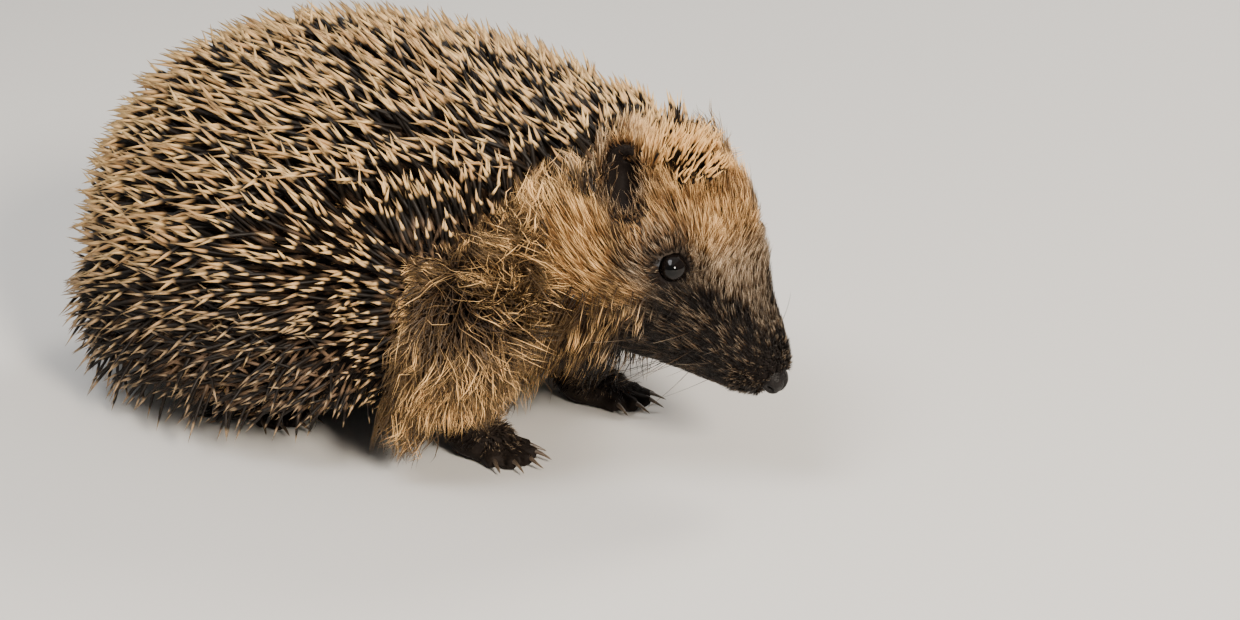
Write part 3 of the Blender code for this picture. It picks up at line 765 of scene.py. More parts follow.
skinHead = inHead(skinTips)
skinBack = -skinHead[:, 0]
skinSpines = spineShare(skinTips)
height, sideReach, facing = skinPlaces[:, 2], np.abs(skinPlaces[:, 1]), skinNormals[:, 2]
onCrown = (headShare(skinTips, 0.070, 0.064) > 0.5) * 1.0
onEars, onPaws, onTrunk = owned(skinOwner, earNodes), owned(skinOwner, pawNodes), owned(skinOwner, ["trunk"])
onFace = owned(skinOwner, ["head", "lower_jaw"])

spineValues = {
    "tries": 34000, "spacing": 0.00142, "length": 0.0205, "frontLength": 0.0128, "shorter": 0.26,
    "width": 0.00115, "profile": [0.55, 0.95, 1.0, 0.80],
    "jitterTurn": 24.0, "jitterLift": 9.0, "leastLift": 22.0, "mostLift": 62.0, "bend": 8.0,
    "edgeShorter": 0.36, "edgeLift": 12.0,   # short and steep next to the fur, so that the tips meet it
    "footShorter": 0.35, "lowTurn": 0.5, "lowThinner": 0.26, "frontThinner": 0.12,
    "reach": 1.16,   # the most that a spine's upright height may be of the coat's own depth
}


def growSpines():
    values = spineValues
    weight = skinSpines * ramp(facing, -0.75, -0.55) * (1 - onCrown)
    roots = scatter(values["tries"], weight, values["spacing"])
    tips, normals, room = roots["tips"], roots["normals"], roots["room"]
    count, front, up = len(tips), frontShare(tips), tips[:, 2]
    edging, low = ramp(pastEdge(tips), -0.0120, -0.0010), ramp(up, 0.044, 0.020)
    length = blend(values["length"], values["frontLength"], front)
    length = length * (1 + values["shorter"] * (0.3 - chance.random(count)))
    length = length * (1 - values["footShorter"] * ramp(up, 0.022, 0.008))
    length = length * (1 - values["edgeShorter"] * edging)
    lift = np.degrees(np.arcsin(np.clip(room / length, 0.2, 0.95)))
    lift = np.clip(lift, values["leastLift"], values["mostLift"]) + values["edgeLift"] * edging
    highest = np.degrees(np.arcsin(np.clip(values["reach"] * room / length, 0.3, 1.0)))
    lift = np.minimum(lift + chance.normal(0, values["jitterLift"], count), highest)
    turn = chance.normal(0, values["jitterTurn"], count) * (1 + values["lowTurn"] * low)
    ways = turned(spineLie(tips, normals), normals, turn)
    start = lifted(ways, normals, np.clip(lift + values["bend"], 10, 85))
    end = lifted(ways, normals, np.clip(lift - values["bend"], 4, 80))
    width = varied(values["width"], (0.85, 0.3), count) * (1 - values["frontThinner"] * front)
    width = width * (1 - values["lowThinner"] * low)
    made = []
    for side, sign in sides.items():
        pick = sideOf(roots["places"]) == sign
        part = {key: value[pick] for key, value in roots.items()}
        made.append(strands("spines_" + side, part, start[pick], end[pick], length[pick], width[pick],
                            values["profile"], around=5))
    return made


# the pieces whose strands have one lie of their own; "jitter" is how far they stray from it
crownValues = {"count": 34000, "spacing": 0.00088, "length": 1.0, "lengths": (0.85, 0.40), "width": 0.00072,
               "widths": (0.8, 0.4), "jitter": 0.15, "way": (0.52, 0.0, 0.85), "bend": (0.15, 0.0, -0.05),
               "outward": 0.12, "profile": [0.6, 1.0, 0.88, 0.52], "around": 5, "least": 0.0070,
               "most": 0.0135, "apart": 0.20, "byEar": 0.40}
capValues = {"count": 2600, "length": 0.0098, "lengths": (0.65, 0.6), "width": 0.00040, "jitter": 0.12,
             "way": (0.14, 0.0, 1.0), "bend": (0.05, 0.0, 0.2), "outward": 0.40, "flatten": 0.35,
             "profile": [1.0, 0.95, 0.8, 0.5], "wave": 0.01, "clump": 0.3, "guides": 500}
throatValues = {"count": 3600, "length": 0.0130, "lengths": (0.6, 0.6), "width": 0.00034, "jitter": 0.16,
                "way": (-0.30, 0.0, -0.90), "bend": (-0.20, 0.0, -0.3), "outward": 0.30,
                "profile": np.linspace(1, 0.45, 4), "wave": 0.03, "turns": 1.2, "clump": 0.55, "guides": 330}
whiskerValues = {"count": 34, "spacing": 0.0009, "length": 0.0150, "lengths": (0.55, 0.7), "width": 0.00016,
                 "widths": None, "jitter": 0.16, "way": -headForward * 0.45,
                 "bend": -headForward * 0.5 - np.array([0, 0, 0.35]), "outward": 0.9,
                 "profile": np.linspace(1, 0.4, 6)}
earHairValues = {"count": 1900, "length": 0.0040, "lengths": (0.5, 0.9), "width": 0.00016, "jitter": 0.26,
                 "way": headUp * 0.25 - headForward * 0.85, "bend": headUp * 0.15, "outward": 0.45,
                 "flatten": 0.35, "profile": np.linspace(1, 0.45, 3), "wave": 0.05}


def crownTurn(roots):  # apart to the sides, and back behind the head
    tips = roots["tips"]
    backward = ramp(-inHead(tips)[:, :1], 0.052, 0.066) * np.array([-0.55, 0, 0.10])
    return backward + tips * [0, 1, 0] / 0.018 * crownValues["apart"]


def crownLength(roots, way, share):
    upright = np.clip(np.sum(way * roots["normals"], 1), 0.5, 1.0)
    length = np.clip(share * roots["room"] / upright, crownValues["least"], crownValues["most"])
    return length * (1 - crownValues["byEar"] * ramp(earDistance(roots["tips"]), 0.0150, 0.0100))


def capLength(roots, way, length):
    return np.minimum(length, 1.5 * roots["room"] + 0.0012) * layFlat(roots["tips"])


def throatLength(roots, way, length):
    return length * (0.55 + 0.45 * ramp(roots["tips"][:, 0], 0.066, 0.050))


def growPiece(name, weight, values, turn=None, fit=None):
    roots = scatter(values["count"], weight, values.get("spacing", 0.0))
    normals, count = roots["normals"], len(roots["places"])
    way = np.array(values["way"]) + normals * values["outward"] + (turn(roots) if turn else 0)
    way = unit(way + chance.normal(0, values["jitter"], (count, 3)))
    length = varied(values["length"], values["lengths"], count)
    length = fit(roots, way, length) if fit else length
    end = unit(way - normals * values.get("flatten", 0.0) + np.array(values["bend"]))
    widths = values.get("widths", (0.7, 0.6))
    width = varied(values["width"], widths, count) if widths else np.full(count, values["width"])
    shape = {key: values[key] for key in ("around", "wave", "turns", "clump", "guides") if key in values}
    return strands(name, roots, way, end, length, width, values["profile"], **shape)


furDefaults = {"longer": 0.0, "lift": 0.0, "wave": 0.02, "turns": 1.0, "clump": 0.35, "guides": 900,
               "jitter": 10.0, "reach": 1.0, "rise": 14.0, "leastRoom": 0.0006, "mostRoom": 0.012,
               "taper": 0.45, "sag": 0.0}
furValues = {   # "longer" is how much length the hairs gain over the piece
    "fur_muzzle": {"count": 19000, "length": 0.0013, "longer": 0.0041, "width": 0.00020, "rings": 2,
                   "lift": 2, "jitter": 9, "clump": 0.2, "guides": 2400, "reach": 0.8, "rise": 10},
    "fur_forehead": {"count": 12000, "length": 0.0072, "longer": 0.0045, "width": 0.00030, "rings": 3,
                     "jitter": 9, "clump": 0.45, "guides": 1700, "reach": 0.36, "rise": 7},
    "fur_belly": {"count": 4500, "length": 0.009, "width": 0.00030, "rings": 3, "wave": 0.04, "clump": 0.4,
                  "guides": 600, "jitter": 16},
    "fur_legs": {"count": 8000, "length": 0.0020, "longer": 0.0036, "width": 0.00022, "rings": 2, "lift": 2,
                 "clump": 0.3, "guides": 1000, "jitter": 12},
    "fur_lining": {"count": 6000, "length": 0.010, "width": 0.00026, "rings": 2, "lift": 8, "clump": 0.0,
                   "jitter": 30},
    "fur_skirt": {"count": 3600, "length": 0.0105, "width": 0.00034, "rings": 4, "wave": 0.05, "clump": 0.4,
                  "guides": 500, "jitter": 18, "sag": 0.25},
    "fur_shoulder": {"count": 5600, "length": 0.0125, "longer": 0.0055, "width": 0.00036, "rings": 5,
                     "lift": 8, "wave": 0.070, "turns": 1.3, "clump": 0.72, "guides": 340, "jitter": 22},
}


def furLength(kind, tips):  # from the short hair of the muzzle to the long hair of the shoulder
    values = {**furDefaults, **furValues[kind]}
    back, ahead, up = -inHead(tips)[:, 0], tips[:, 0], tips[:, 2]
    gained = {"fur_muzzle": ramp(back, 0.003, 0.032), "fur_forehead": ramp(back, 0.030, 0.052),
              "fur_legs": ramp(up, 0.006, 0.020), "fur_shoulder": ramp(ahead, 0.052, 0.036)}
    # shorter by the ears, and over the foreleg
    kept = {"fur_forehead": 1 - 0.45 * ramp(earDistance(tips), 0.0150, 0.0100),
            "fur_shoulder": 1 - 0.45 * ramp(ahead, 0.022, 0.032) * ramp(up, 0.034, 0.022)}
    return (values["length"] + values["longer"] * gained.get(kind, 0.0)) * kept.get(kind, 1.0)


def furSag(kind, tips):  # how much the hair hangs
    if kind == "fur_shoulder":
        return 0.10 + 1.1 * ramp(tips[:, 2], 0.042, 0.028) * ramp(tips[:, 0], 0.026, 0.040)
    return np.full(len(tips), furValues[kind].get("sag", furDefaults["sag"]))


def growFur(kind, weight, name=None):
    values = {**furDefaults, **furValues[kind]}
    roots = scatter(values["count"], weight)
    tips, normals, count = roots["tips"], roots["normals"], len(roots["tips"])
    room = np.clip(roots["room"], values["leastRoom"], values["mostRoom"]) * values["reach"]
    length = varied(furLength(kind, tips), (0.70, 0.55), count)
    lifts = np.degrees(np.arcsin(np.clip(room / length, 0.06, 0.75))) + values["lift"]
    lifts = lifts + chance.normal(0, 5.0, count)
    ways = turned(furLie(tips, normals), normals, chance.normal(0, values["jitter"], count))
    # shorter where the hair would cross spines, the opening of an ear or an eye
    ends = tips + ways * length[:, None] * 0.85
    length = length * (1 - 0.72 * spineShare(ends)) * (1 - 0.72 * earCover(ends)) * layFlat(tips)
    length = length * (1 - 0.50 * ramp(eyeDistance(roots["places"]), 0.0064, 0.0044))
    sag = furSag(kind, tips)[:, None] * np.array([0, 0, 1.0])
    start = lifted(ways, normals, np.clip(lifts + values["rise"], 6, 80))
    start = unit(start - sag * 0.5 * (normals[:, 2:] < 0))
    end = unit(lifted(ways, normals, np.clip(lifts - values["rise"], -8, 70)) - sag)
    widths = varied(values["width"], (0.7, 0.6), count)
    shape = {key: values[key] for key in ("wave", "turns", "clump", "guides")}
    return strands(name or kind, roots, start, end, length, widths,
                   np.linspace(1.0, values["taper"], values["rings"]), **shape)


def onSide(weight, side):
    return weight * (sideOf(skinPlaces) == sides[side])


# where each piece of the coat grows, as a weight for each place of the skin
furry = 1 - skinSpines
bare = np.maximum(ramp(eyeDistance(skinPlaces), 0.0035, 0.0032),
                  ramp(distance(skinPlaces, boxCentre("nose")), 0.0042, 0.0034))
inHollow = onTrunk * (facing < -0.2) * (sideReach < 0.040)
earPlace, earOpens = inEar(skinPlaces)
earReach = np.linalg.norm(earPlace[:, :2], axis=1)
earInside = ramp(earReach, 1.02, 0.90) * (np.abs(earPlace[:, 2]) < 0.0075) * (
    (np.sum(skinNormals * earOpens, 1) > -0.1) | (earPlace[:, 2] > 0.001))
earRim = ramp(np.abs(earReach - 1.02), 0.22, 0.12) * (np.abs(earPlace[:, 2]) < 0.005)
earTop = 0.35 + 0.65 * ramp(earPlace[:, 1], -0.2, 0.6)   # more hairs towards the top of the ear
muzzleWeight = onFace * ramp(skinBack, 0.036, 0.030) * (1 - bare) * (1.8 - 0.8 * ramp(skinBack, 0.008, 0.018))
foreheadWeight = onFace * ramp(skinBack, 0.026, 0.032) * furry * (1 - bare) * (1 - earInside)
legWeight = owned(skinOwner, legNodes) * ramp(height, 0.024, 0.014)
legWeight = (legWeight + onPaws * 0.8 * ramp(height, 0.003, 0.005)) * ramp(facing, -0.8, -0.5)
lowest = 0.012 + 0.009 * ramp(skinTips[:, 0], 0.020, 0.030)
sideWeight = (1 - onFace) * (1 - onEars) * (1 - earInside) * (1 - onPaws) * furry
sideWeight *= ramp(skinTips[:, 0], 0.002, 0.008) * ramp(height - lowest, 0.0, 0.006) * (1 - 0.7 * inHollow)
skirtWeight = owned(skinOwner, ["trunk", "hind_leg_left", "hind_leg_right", "tail"])
skirtWeight *= ramp(skinPlaces[:, 0], 0.016, 0.006) * ramp(height, 0.022, 0.013) * (1 - inHollow)
skirtWeight *= ramp(height, 0.003, 0.006)
throatWeight = owned(skinOwner, ["neck", "head", "lower_jaw", "trunk"]) * ramp(facing, 0.25, -0.15)
throatWeight *= ramp(skinTips[:, 0], 0.030, 0.038) * ramp(skinBack, 0.026, 0.034) * ramp(height, 0.050, 0.040)
bellyWeight = np.maximum(owned(skinOwner, ["belly"]), inHollow) + owned(skinOwner, ["neck"]) * (facing < -0.5)
whiskerWeight = onFace * ramp(skinBack, 0.007, 0.010) * ramp(skinBack, 0.024, 0.018)
whiskerWeight *= ramp(np.abs(skinHead[:, 1]), 0.0035, 0.0050) * ramp(skinHead[:, 2], 0.003, 0.000)
earHairWeight = (onEars + onFace) * earRim * earTop + 0.5 * onEars * (1 - earInside)
earHairWeight += 0.06 * earInside * (skinPlaces[:, 1] < 0) * ramp(earReach, 0.45, 0.90)

crownWeight = skinSpines * onCrown * (1 - onEars)
capWeight = capShare(skinTips) * (1 - onEars) * (1 - earInside)

spines = growSpines()
spines.append(growPiece("spines_crown", crownWeight, crownValues, crownTurn, crownLength))
fur = [
    growFur("fur_muzzle", muzzleWeight),
    growFur("fur_forehead", foreheadWeight),
    growFur("fur_belly", bellyWeight),
    growFur("fur_legs", legWeight),
    growFur("fur_lining", skinSpines * ramp(facing, -0.9, -0.6)),
    growPiece("fur_cap", capWeight, capValues, fit=capLength),
    growPiece("fur_throat", throatWeight, throatValues, fit=throatLength),
]
for side in sides:
    fur.append(growFur("fur_skirt", onSide(skirtWeight, side), "fur_skirt_" + side))
    fur.append(growFur("fur_shoulder", onSide(sideWeight, side), "fur_shoulder_" + side))
fur.append(growPiece("whiskers", whiskerWeight, whiskerValues))
fur.append(growPiece("fringe_ears", earHairWeight, earHairValues))
print("coat grown")


def ballArrays(level=5):
    form = bmesh.new()
    bmesh.ops.create_icosphere(form, subdivisions=level, radius=1.0)
    form.verts.index_update()
    ways = unit(np.array([v.co for v in form.verts]))
    faces = np.array([[v.index for v in f.verts] for f in form.faces])
    form.free()
    return ways, faces


def standFor(piece, replaced):  # the piece takes the place of these nodes
    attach(piece, "root")
    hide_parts(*replaced)
    return piece


def buildEye(side):
    eye, name = eyes[side], "eyeball_" + side
    ways, faces = ballArrays()
    tilt = np.degrees(np.arccos(np.clip(ways @ eye["gaze"], -1, 1)))
    reach = eye["radius"] * (1 + eyeValues["corneaRise"] * ramp(tilt, eyeValues["corneaReach"], 8.0))
    ball = makeObject(name, makeMesh(name, eye["centre"] + ways * reach[:, None], faces))
    addValue(ball.data, "tilt", tilt / 90)
    return standFor(ball, ["eye_" + side])


noseValues = {
    "share": (1.0, 0.80, 0.80),   # of the solid, across and up, so that the muzzle closes round it
    "fullness": 2.3, "nostril": (0.66, 0.70, -0.10), "nostrilWidth": 0.30, "nostrilDepth": 0.0013,
    "rim": 0.00022, "groove": 0.00045, "grooveWidth": 0.09, "lobe": 0.0003,
}


def buildNose():
    ways, faces = ballArrays()
    solid = inHead(np.array([v.co for v in nodes["nose"].data.vertices]))
    low, high = solid.min(0), solid.max(0)
    fullness = np.sum(np.abs(ways) ** noseValues["fullness"], 1) ** (-1 / noseValues["fullness"])
    width = noseValues["nostrilWidth"]
    push = noseValues["lobe"] * ramp(ways[:, 2], 0.2, 0.8)
    push -= noseValues["groove"] * bell(ways[:, 1], noseValues["grooveWidth"]) * ramp(ways[:, 0], 0.2, 0.7)
    for sign in sides.values():
        away = ways - unit(np.array(noseValues["nostril"]) * [1, sign, 1])
        slanted = np.stack([away[:, 0], away[:, 1] * 0.9, away[:, 2] * 1.25 + 0.35 * away[:, 0]], 1)
        gap = np.linalg.norm(slanted, axis=1)
        push -= noseValues["nostrilDepth"] * bell(gap, width * 0.72)
        push += noseValues["rim"] * bell(gap - width * 1.35, width * 0.5)
    local = ways * fullness[:, None] * (high - low) / 2 * noseValues["share"] + ways * push[:, None]
    places = noseTip + ((low + high) / 2 + local) @ headAxes.T
    pad = makeObject("nose_pad", makeMesh("nose_pad", places, faces))
    return standFor(pad, ["nose"])


clawValues = {"rings": 12, "around": 12, "width": 0.00070, "height": 0.00085, "inside": 0.0011,
              "sink": 0.0003, "blunt": 0.16, "below": 0.6}


def clawPoints(name):  # curved, flatter below, from inside its toe to the tip of its solid
    root, middle, tip = clawLines[name]
    root = root - unitOf((middle - root) * [1, 1, 0]) * clawValues["inside"] - [0, 0, clawValues["sink"]]
    bend = middle * 2 - (root + tip) / 2
    aside = unitOf(np.cross(tip - root, [0.0, 0.0, 1.0]))
    turn = np.arange(clawValues["around"])[:, None] * 2 * math.pi / clawValues["around"]
    rise = np.sin(turn) * np.where(np.sin(turn) > 0, 1.0, clawValues["below"])
    points = []
    for t in np.linspace(0, 1, clawValues["rings"]):
        spot = root * (1 - t) ** 2 + bend * 2 * t * (1 - t) + tip * t * t
        up = np.cross(aside, unitOf((bend - root) * (1 - t) + (tip - bend) * t))
        fine = blend((1 - t) ** 0.75, math.sqrt(max(0.0, 1 - t ** 6)), clawValues["blunt"])
        section = np.cos(turn) * aside * clawValues["width"] + rise * up * clawValues["height"]
        points.append(spot + fine * section)
    return np.concatenate(points)


def buildClaws(paw):
    rings, around, names = clawValues["rings"], clawValues["around"], clawsOf[paw]
    one = []
    for r in range(rings - 1):
        for k in range(around):
            a, b = r * around + k, r * around + (k + 1) % around
            one.append([a, b, b + around, a + around])
    faces = np.concatenate([np.array(one) + n * rings * around for n in range(len(names))])
    mesh = makeMesh("claws", np.concatenate([clawPoints(name) for name in names]), faces)
    addValue(mesh, "along", np.tile(np.repeat(np.linspace(0, 1, rings), around), len(names)))
    return standFor(makeObject("claws_" + paw.replace("_paw", ""), mesh), names)


eyeballs = [buildEye(side) for side in sides]
claws = [buildClaws(paw) for paw in pawNodes]
nose = buildNose()
print("eyes, claws and nose built")


def feed(tree, node, inputs):  # sets each input, or links it where the value is a socket
    for key, value in inputs.items():
        if isinstance(value, bpy.types.NodeSocket):
            tree.links.new(value, node.inputs[key])
        else:
            node.inputs[key].default_value = value
    return node


def addNode(tree, kind, inputs, **settings):
    made = tree.nodes.new(kind)
    for key, value in settings.items():
        setattr(made, key, value)
    return feed(tree, made, inputs)


def readValue(tree, name):
    return addNode(tree, "ShaderNodeAttribute", {}, attribute_name=name).outputs["Fac"]


def plus(tree, a, b, clamp=False):
    return addNode(tree, "ShaderNodeMath", {0: a, 1: b}, operation="ADD", use_clamp=clamp).outputs[0]


def times(tree, a, b):
    return addNode(tree, "ShaderNodeMath", {0: a, 1: b}, operation="MULTIPLY").outputs[0]


def swing(tree, value, amount):  # half the amount up or down as the value goes from 0 to 1
    return times(tree, plus(tree, value, -0.5), amount)


def mixColour(tree, share, a, b, mode="MIX"):
    return addNode(tree, "ShaderNodeMix", {"Factor": share, 6: a, 7: b}, data_type="RGBA",
                   blend_type=mode).outputs[2]


def noiseNode(tree, place, scale, detail):
    given = {"Vector": place, "Scale": scale, "Detail": detail}
    return addNode(tree, "ShaderNodeTexNoise", given).outputs["Fac"]


def objectPlace(tree):
    return addNode(tree, "ShaderNodeTexCoord", {}).outputs["Object"]


def stepShare(tree, value, low, high):
    return addNode(tree, "ShaderNodeMapRange", {"Value": value, "From Min": low, "From Max": high},
                   interpolation_type="SMOOTHSTEP").outputs["Result"]


def newMaterial(name):
    material = bpy.data.materials.new(name)
    material.use_nodes = True
    return material, material.node_tree, material.node_tree.nodes["Principled BSDF"]


def useGroup(tree, group, inputs):
    return feed(tree, addNode(tree, "ShaderNodeGroup", {}, node_tree=group), inputs).outputs


def newGroup(name, inputs, outputs):
    group = bpy.data.node_groups.new(name, "ShaderNodeTree")
    for label, value in inputs.items():
        kind = "NodeSocketColor" if isinstance(value, tuple) else "NodeSocketFloat"
        group.interface.new_socket(label, in_out="INPUT", socket_type=kind).default_value = value
    for label, kind in outputs.items():
        group.interface.new_socket(label, in_out="OUTPUT", socket_type=kind)
    return group, group.nodes.new("NodeGroupInput").outputs, group.nodes.new("NodeGroupOutput")


def markingsGroup():  # the same markings for the skin and the coat
    white, black = (1, 1, 1, 1), (0, 0, 0, 1)
    group, given, out = newGroup("coatMarkings", {
        "Gold": white, "Grey": white, "Light": white, "Mask": black, "Variation": 0.3, "Grizzle": 0.0,
    }, {"Colour": "NodeSocketColor"})
    random, noise = readValue(group, "chance"), noiseNode(group, objectPlace(group), 160.0, 2.0)
    spotted = plus(group, readValue(group, "mask"), swing(group, noise, 0.5), clamp=True)
    tone = mixColour(group, readValue(group, "grey"), given["Gold"], given["Grey"])
    tone = mixColour(group, readValue(group, "light"), tone, given["Light"])
    grizzled = times(group, stepShare(group, random, 0.62, 0.88), given["Grizzle"])   # pale hairs in the mask
    plain = plus(group, times(group, grizzled, -1.0), 1.0)
    tone = mixColour(group, times(group, stepShare(group, spotted, 0.10, 0.90), plain), tone, given["Mask"])
    bright = plus(group, swing(group, random, given["Variation"]), 1.0)
    tint = addNode(group, "ShaderNodeCombineColor", {0: bright, 1: bright, 2: bright}).outputs[0]
    feed(group, out, {"Colour": mixColour(group, 1.0, tone, tint, "MULTIPLY")})
    return group


def grainGroup():  # fine relief shared by the hide, the nose and the claws
    group, given, out = newGroup("fineGrain", {
        "Scale": 1400.0, "Cells": 1.0, "Patch Scale": 500.0, "Strength": 0.35, "Distance": 0.0003,
    }, {"Normal": "NodeSocketVector", "Patch": "NodeSocketFloat"})
    place = objectPlace(group)
    cells = addNode(group, "ShaderNodeTexVoronoi", {"Vector": place, "Scale": given["Scale"]})
    height = addNode(group, "ShaderNodeMix", {"Factor": given["Cells"], "B": cells.outputs["Distance"],
                                              "A": noiseNode(group, place, given["Scale"], 3.0)})
    bump = addNode(group, "ShaderNodeBump", {"Height": height.outputs["Result"],
                                             "Distance": given["Distance"], "Strength": given["Strength"]})
    patch = noiseNode(group, place, given["Patch Scale"], 3.0)
    feed(group, out, {"Normal": bump.outputs["Normal"], "Patch": patch})
    return group


coatMarkings, fineGrain = markingsGroup(), grainGroup()

coatColours = {"Grey": (0.50, 0.39, 0.27, 1), "Light": (0.88, 0.535, 0.215, 1),
               "Mask": (0.024, 0.018, 0.014, 1), "Grizzle": 0.62}
# the hair's dark root: partly its own colour, partly painted shade deep in the coat
hairRootAndShade = (0.012, 0.008, 0.006, 1)
hairFinish = {"Roughness": 0.38, "Specular IOR Level": 0.30}
# middle darkens the hairs' middles, to near black on the body: partly their own colour, partly painted shade
# between the strands
hairLooks = {
    "bodyHair": {"gold": (0.98, 0.60, 0.245, 1), "middle": (0.050, 0.044, 0.046, 1), "variation": 0.9,
                 "middleFrom": 0.42, "tipFrom": 0.84, "darkAndShadedHairs": 0.60},
    "faceHair": {"gold": (0.94, 0.56, 0.215, 1), "middle": (0.23, 0.18, 0.14, 1), "variation": 0.8,
                 "middleFrom": 0.40, "tipFrom": 0.88, "darkAndShadedHairs": 0.38},
}


def furMaterial(name):  # dark at the root, brown in the middle, and the tip pale on some of the hairs; the dark roots, middles and the hairs left dark are partly the hair's own colour and partly painted shade between the strands
    values = hairLooks[name]
    material, tree, shader = newMaterial(name)
    tone = useGroup(tree, coatMarkings, {**coatColours, "Gold": values["gold"],
                                         "Variation": values["variation"]})["Colour"]
    along = readValue(tree, "along")
    middle = mixColour(tree, 1.0, tone, values["middle"], "MULTIPLY")
    lower = mixColour(tree, stepShare(tree, along, 0.08, values["middleFrom"]), hairRootAndShade, middle)
    pale = stepShare(tree, readValue(tree, "chance"), values["darkAndShadedHairs"] - 0.10, values["darkAndShadedHairs"] + 0.10)
    tip = stepShare(tree, along, values["middleFrom"], values["tipFrom"])
    tip = times(tree, tip, plus(tree, times(tree, pale, 0.88), 0.12))
    feed(tree, shader, {"Base Color": mixColour(tree, tip, lower, tone), **hairFinish})
    return material


spineLook = {"cream": (0.86, 0.57, 0.25, 1), "tan": (0.46, 0.27, 0.12, 1), "gold": (0.74, 0.435, 0.165, 1),
             "shaded": (0.30, 0.215, 0.135, 1), "dark": (0.010, 0.007, 0.005, 1),
             "base": (0.16, 0.10, 0.06, 1), "tipFrom": 0.72, "headTip": 0.14, "shadeTip": -0.12,
             "finish": {"Roughness": 0.5, "Specular IOR Level": 0.2}}


def spineMaterial():  # a brown foot, a long dark band and a pale tip; painted shade makes the pale tips shorter and duller low and at the rear of the flanks
    material, tree, shader = newMaterial("spineKeratin")
    # low reads the dark mask, which on the spines is mostly painted shade near the ground and at the rear
    random, light, low = readValue(tree, "chance"), readValue(tree, "light"), readValue(tree, "mask")
    along = plus(tree, readValue(tree, "along"), swing(tree, random, 0.12))
    along = plus(tree, along, times(tree, light, spineLook["headTip"]))
    along = plus(tree, along, times(tree, low, spineLook["shadeTip"]))
    base = mixColour(tree, stepShare(tree, along, 0.20, 0.42), spineLook["base"], spineLook["dark"])
    tip = mixColour(tree, random, spineLook["cream"], spineLook["tan"])
    tip = mixColour(tree, light, tip, spineLook["gold"])
    # painted shade: the tips turn to the shaded colour there
    tip = mixColour(tree, times(tree, low, 0.9), tip, spineLook["shaded"])
    share = stepShare(tree, along, spineLook["tipFrom"] - 0.05, spineLook["tipFrom"] + 0.05)
    feed(tree, shader, {"Base Color": mixColour(tree, share, base, tip), **spineLook["finish"]})
    return material


skinLook = {
    "markings": {"Gold": (0.050, 0.030, 0.018, 1), "Grey": (0.045, 0.033, 0.024, 1),
                 "Light": (0.085, 0.055, 0.034, 1), "Mask": (0.009, 0.0065, 0.0055, 1), "Variation": 0.0},
    "lid": (0.060, 0.063, 0.072, 1),
    "grain": {"Scale": 1400.0, "Cells": 1.0, "Strength": 0.35, "Distance": 0.0003},
    "finish": {"Roughness": 0.70, "Specular IOR Level": 0.10},
}
eyeLook = {"pupil": (0.0015, 0.0015, 0.0015, 1), "iris": (0.005, 0.0035, 0.003, 1), "irisFrom": (0.24, 0.34),
           "finish": {"Roughness": 0.05, "IOR": 1.33}}
noseLook = {
    "dark": (0.003, 0.0026, 0.0026, 1), "pale": (0.013, 0.0105, 0.010, 1),
    "grain": {"Scale": 2600.0, "Cells": 1.0, "Patch Scale": 900.0, "Strength": 0.9, "Distance": 0.00014},
    "finish": {"Roughness": 0.36, "Specular IOR Level": 0.15},
}
clawLook = {
    "dark": (0.035, 0.025, 0.018, 1), "pale": (0.16, 0.115, 0.075, 1), "root": (0.030, 0.022, 0.018, 1),
    "grain": {"Scale": 900.0, "Cells": 0.0, "Patch Scale": 900.0, "Strength": 0.3, "Distance": 0.0002},
    "finish": {"Roughness": 0.36},
}


def skinMaterial():
    material, tree, shader = newMaterial("skinHide")
    tone = useGroup(tree, coatMarkings, skinLook["markings"])["Colour"]
    tone = mixColour(tree, readValue(tree, "lid"), tone, skinLook["lid"])
    grain = useGroup(tree, fineGrain, skinLook["grain"])
    feed(tree, shader, {"Base Color": tone, "Normal": grain["Normal"], **skinLook["finish"]})
    return material


def eyeMaterial():
    material, tree, shader = newMaterial("eyeWet")
    iris = stepShare(tree, readValue(tree, "tilt"), *eyeLook["irisFrom"])
    tone = mixColour(tree, iris, eyeLook["pupil"], eyeLook["iris"])
    feed(tree, shader, {"Base Color": tone, **eyeLook["finish"]})
    return material


def noseMaterial():
    material, tree, shader = newMaterial("noseLeather")
    grain = useGroup(tree, fineGrain, noseLook["grain"])
    tone = mixColour(tree, grain["Patch"], noseLook["dark"], noseLook["pale"])
    feed(tree, shader, {"Base Color": tone, "Normal": grain["Normal"], **noseLook["finish"]})
    return material


def clawMaterial():
    material, tree, shader = newMaterial("clawHorn")
    grain = useGroup(tree, fineGrain, clawLook["grain"])
    streak = mixColour(tree, grain["Patch"], clawLook["dark"], clawLook["pale"])
    tone = mixColour(tree, stepShare(tree, readValue(tree, "along"), 0.10, 0.85), clawLook["root"], streak)
    feed(tree, shader, {"Base Color": tone, "Normal": grain["Normal"], **clawLook["finish"]})
    return material


def paint(pieces, material):
    for piece in pieces:
        piece.data.materials.append(material)


skinMarks = markings(skinTips)
# painted shade: the skin under the spines is darkened, and inside the ears the dark skin is deepened in the
# hollow
skinMarks["mask"] = np.maximum(np.maximum(skinMarks["mask"], 0.9 * skinSpines), earInside)
for name, values in {**skinMarks, "chance": np.full(len(skinTips), 0.5), "lid": lidRim}.items():
    addValue(skin.data, name, values)
skin.data.materials.clear()
paint([skin], skinMaterial())
standFor(skin, fleshNodes)
facePieces = [piece for piece in fur
              if piece.name in ("fur_muzzle", "fur_forehead", "fur_cap", "fringe_ears", "whiskers")]
bodyPieces = [piece for piece in fur if piece not in facePieces]
coatLooks = {"face": (facePieces, furMaterial("faceHair")), "fur": (bodyPieces, furMaterial("bodyHair")),
             "spines": (spines, spineMaterial())}
for slot, (pieces, material) in coatLooks.items():
    paint(pieces, material)
paint(eyeballs, eyeMaterial())
paint(claws, clawMaterial())
paint([nose], noseMaterial())
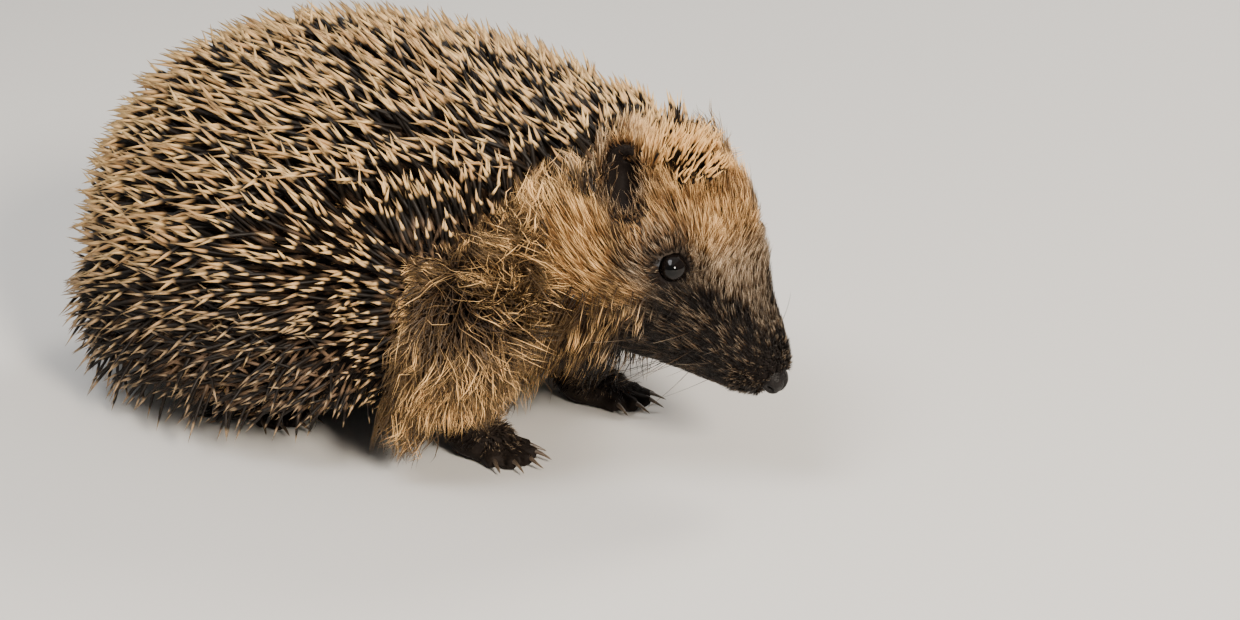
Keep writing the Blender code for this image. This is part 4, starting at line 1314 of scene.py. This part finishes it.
print("materials set")

studio = {
    "floorSize": 9.0, "floorHeight": -0.0002, "floorColour": (0.70, 0.68, 0.65, 1), "floorRoughness": 0.85,
    "airColour": (0.80, 0.80, 0.80, 1), "airStrength": 0.26,
}
lamps = {   # place, aim, size, power, colour
    "key": ((0.88, -0.52, 0.56), (0.03, 0, 0.04), 0.24, 22, (1.0, 0.90, 0.77)),
    "window": ((-0.17, -0.51, 1.05), (0.03, 0, 0.04), 0.60, 8, (0.97, 0.98, 1.0)),
    "rim": ((0.2, 0.9, 0.8), (0, 0, 0.05), 0.5, 9, (1.0, 0.95, 0.88)),
    "overhead": ((0, 0, 2.6), (0, 0, 0), 4.0, 20, (1.0, 0.99, 0.97)),
}
cameraValues = {"place": (0.31597, -0.4499, 0.22124), "azimuth": 31.0, "elevation": 20.0, "lens": 72.46,
                "sensor": 36.0, "nearest": 0.01, "farthest": 20.0}


def turnTo(thing, way):
    thing.rotation_euler = way.to_track_quat("-Z", "Y").to_euler()


def areaLight(name, place, aim, size, power, colour):
    data = bpy.data.lights.new(name, "AREA")
    data.shape = "DISK"
    data.size = size
    data.energy = power
    data.color = colour
    lamp = makeObject(name, data)
    lamp.location = place
    turnTo(lamp, Vector(aim) - Vector(place))


def buildFloor():
    half = studio["floorSize"] / 2
    corners = np.array([[-half, -half, 0], [half, -half, 0], [half, half, 0], [-half, half, 0]])
    floor = makeObject("floor", makeMesh("floor", corners, np.array([[0, 1, 2, 3]])))
    floor.location.z = studio["floorHeight"]
    material, tree, shader = newMaterial("floorPaper")
    feed(tree, shader, {"Base Color": studio["floorColour"], "Roughness": studio["floorRoughness"]})
    paint([floor], material)
    return floor


def setCamera(values):
    data = bpy.data.cameras.new("camera")
    data.sensor_width = values["sensor"]
    data.lens = values["lens"]
    data.clip_start = values["nearest"]
    data.clip_end = values["farthest"]
    camera = makeObject("camera", data)
    azimuth, elevation = math.radians(values["azimuth"]), math.radians(values["elevation"])
    camera.location = values["place"]
    turnTo(camera, Vector((-math.sin(azimuth) * math.cos(elevation), math.cos(azimuth) * math.cos(elevation),
                           -math.sin(elevation))))
    bpy.context.scene.camera = camera


buildFloor()
for name, values in lamps.items():
    areaLight(name, *values)
world = bpy.data.worlds.new("studioAir")
bpy.context.scene.world = world
world.use_nodes = True
feed(world.node_tree, world.node_tree.nodes["Background"],
     {"Color": studio["airColour"], "Strength": studio["airStrength"]})
setCamera(cameraValues)
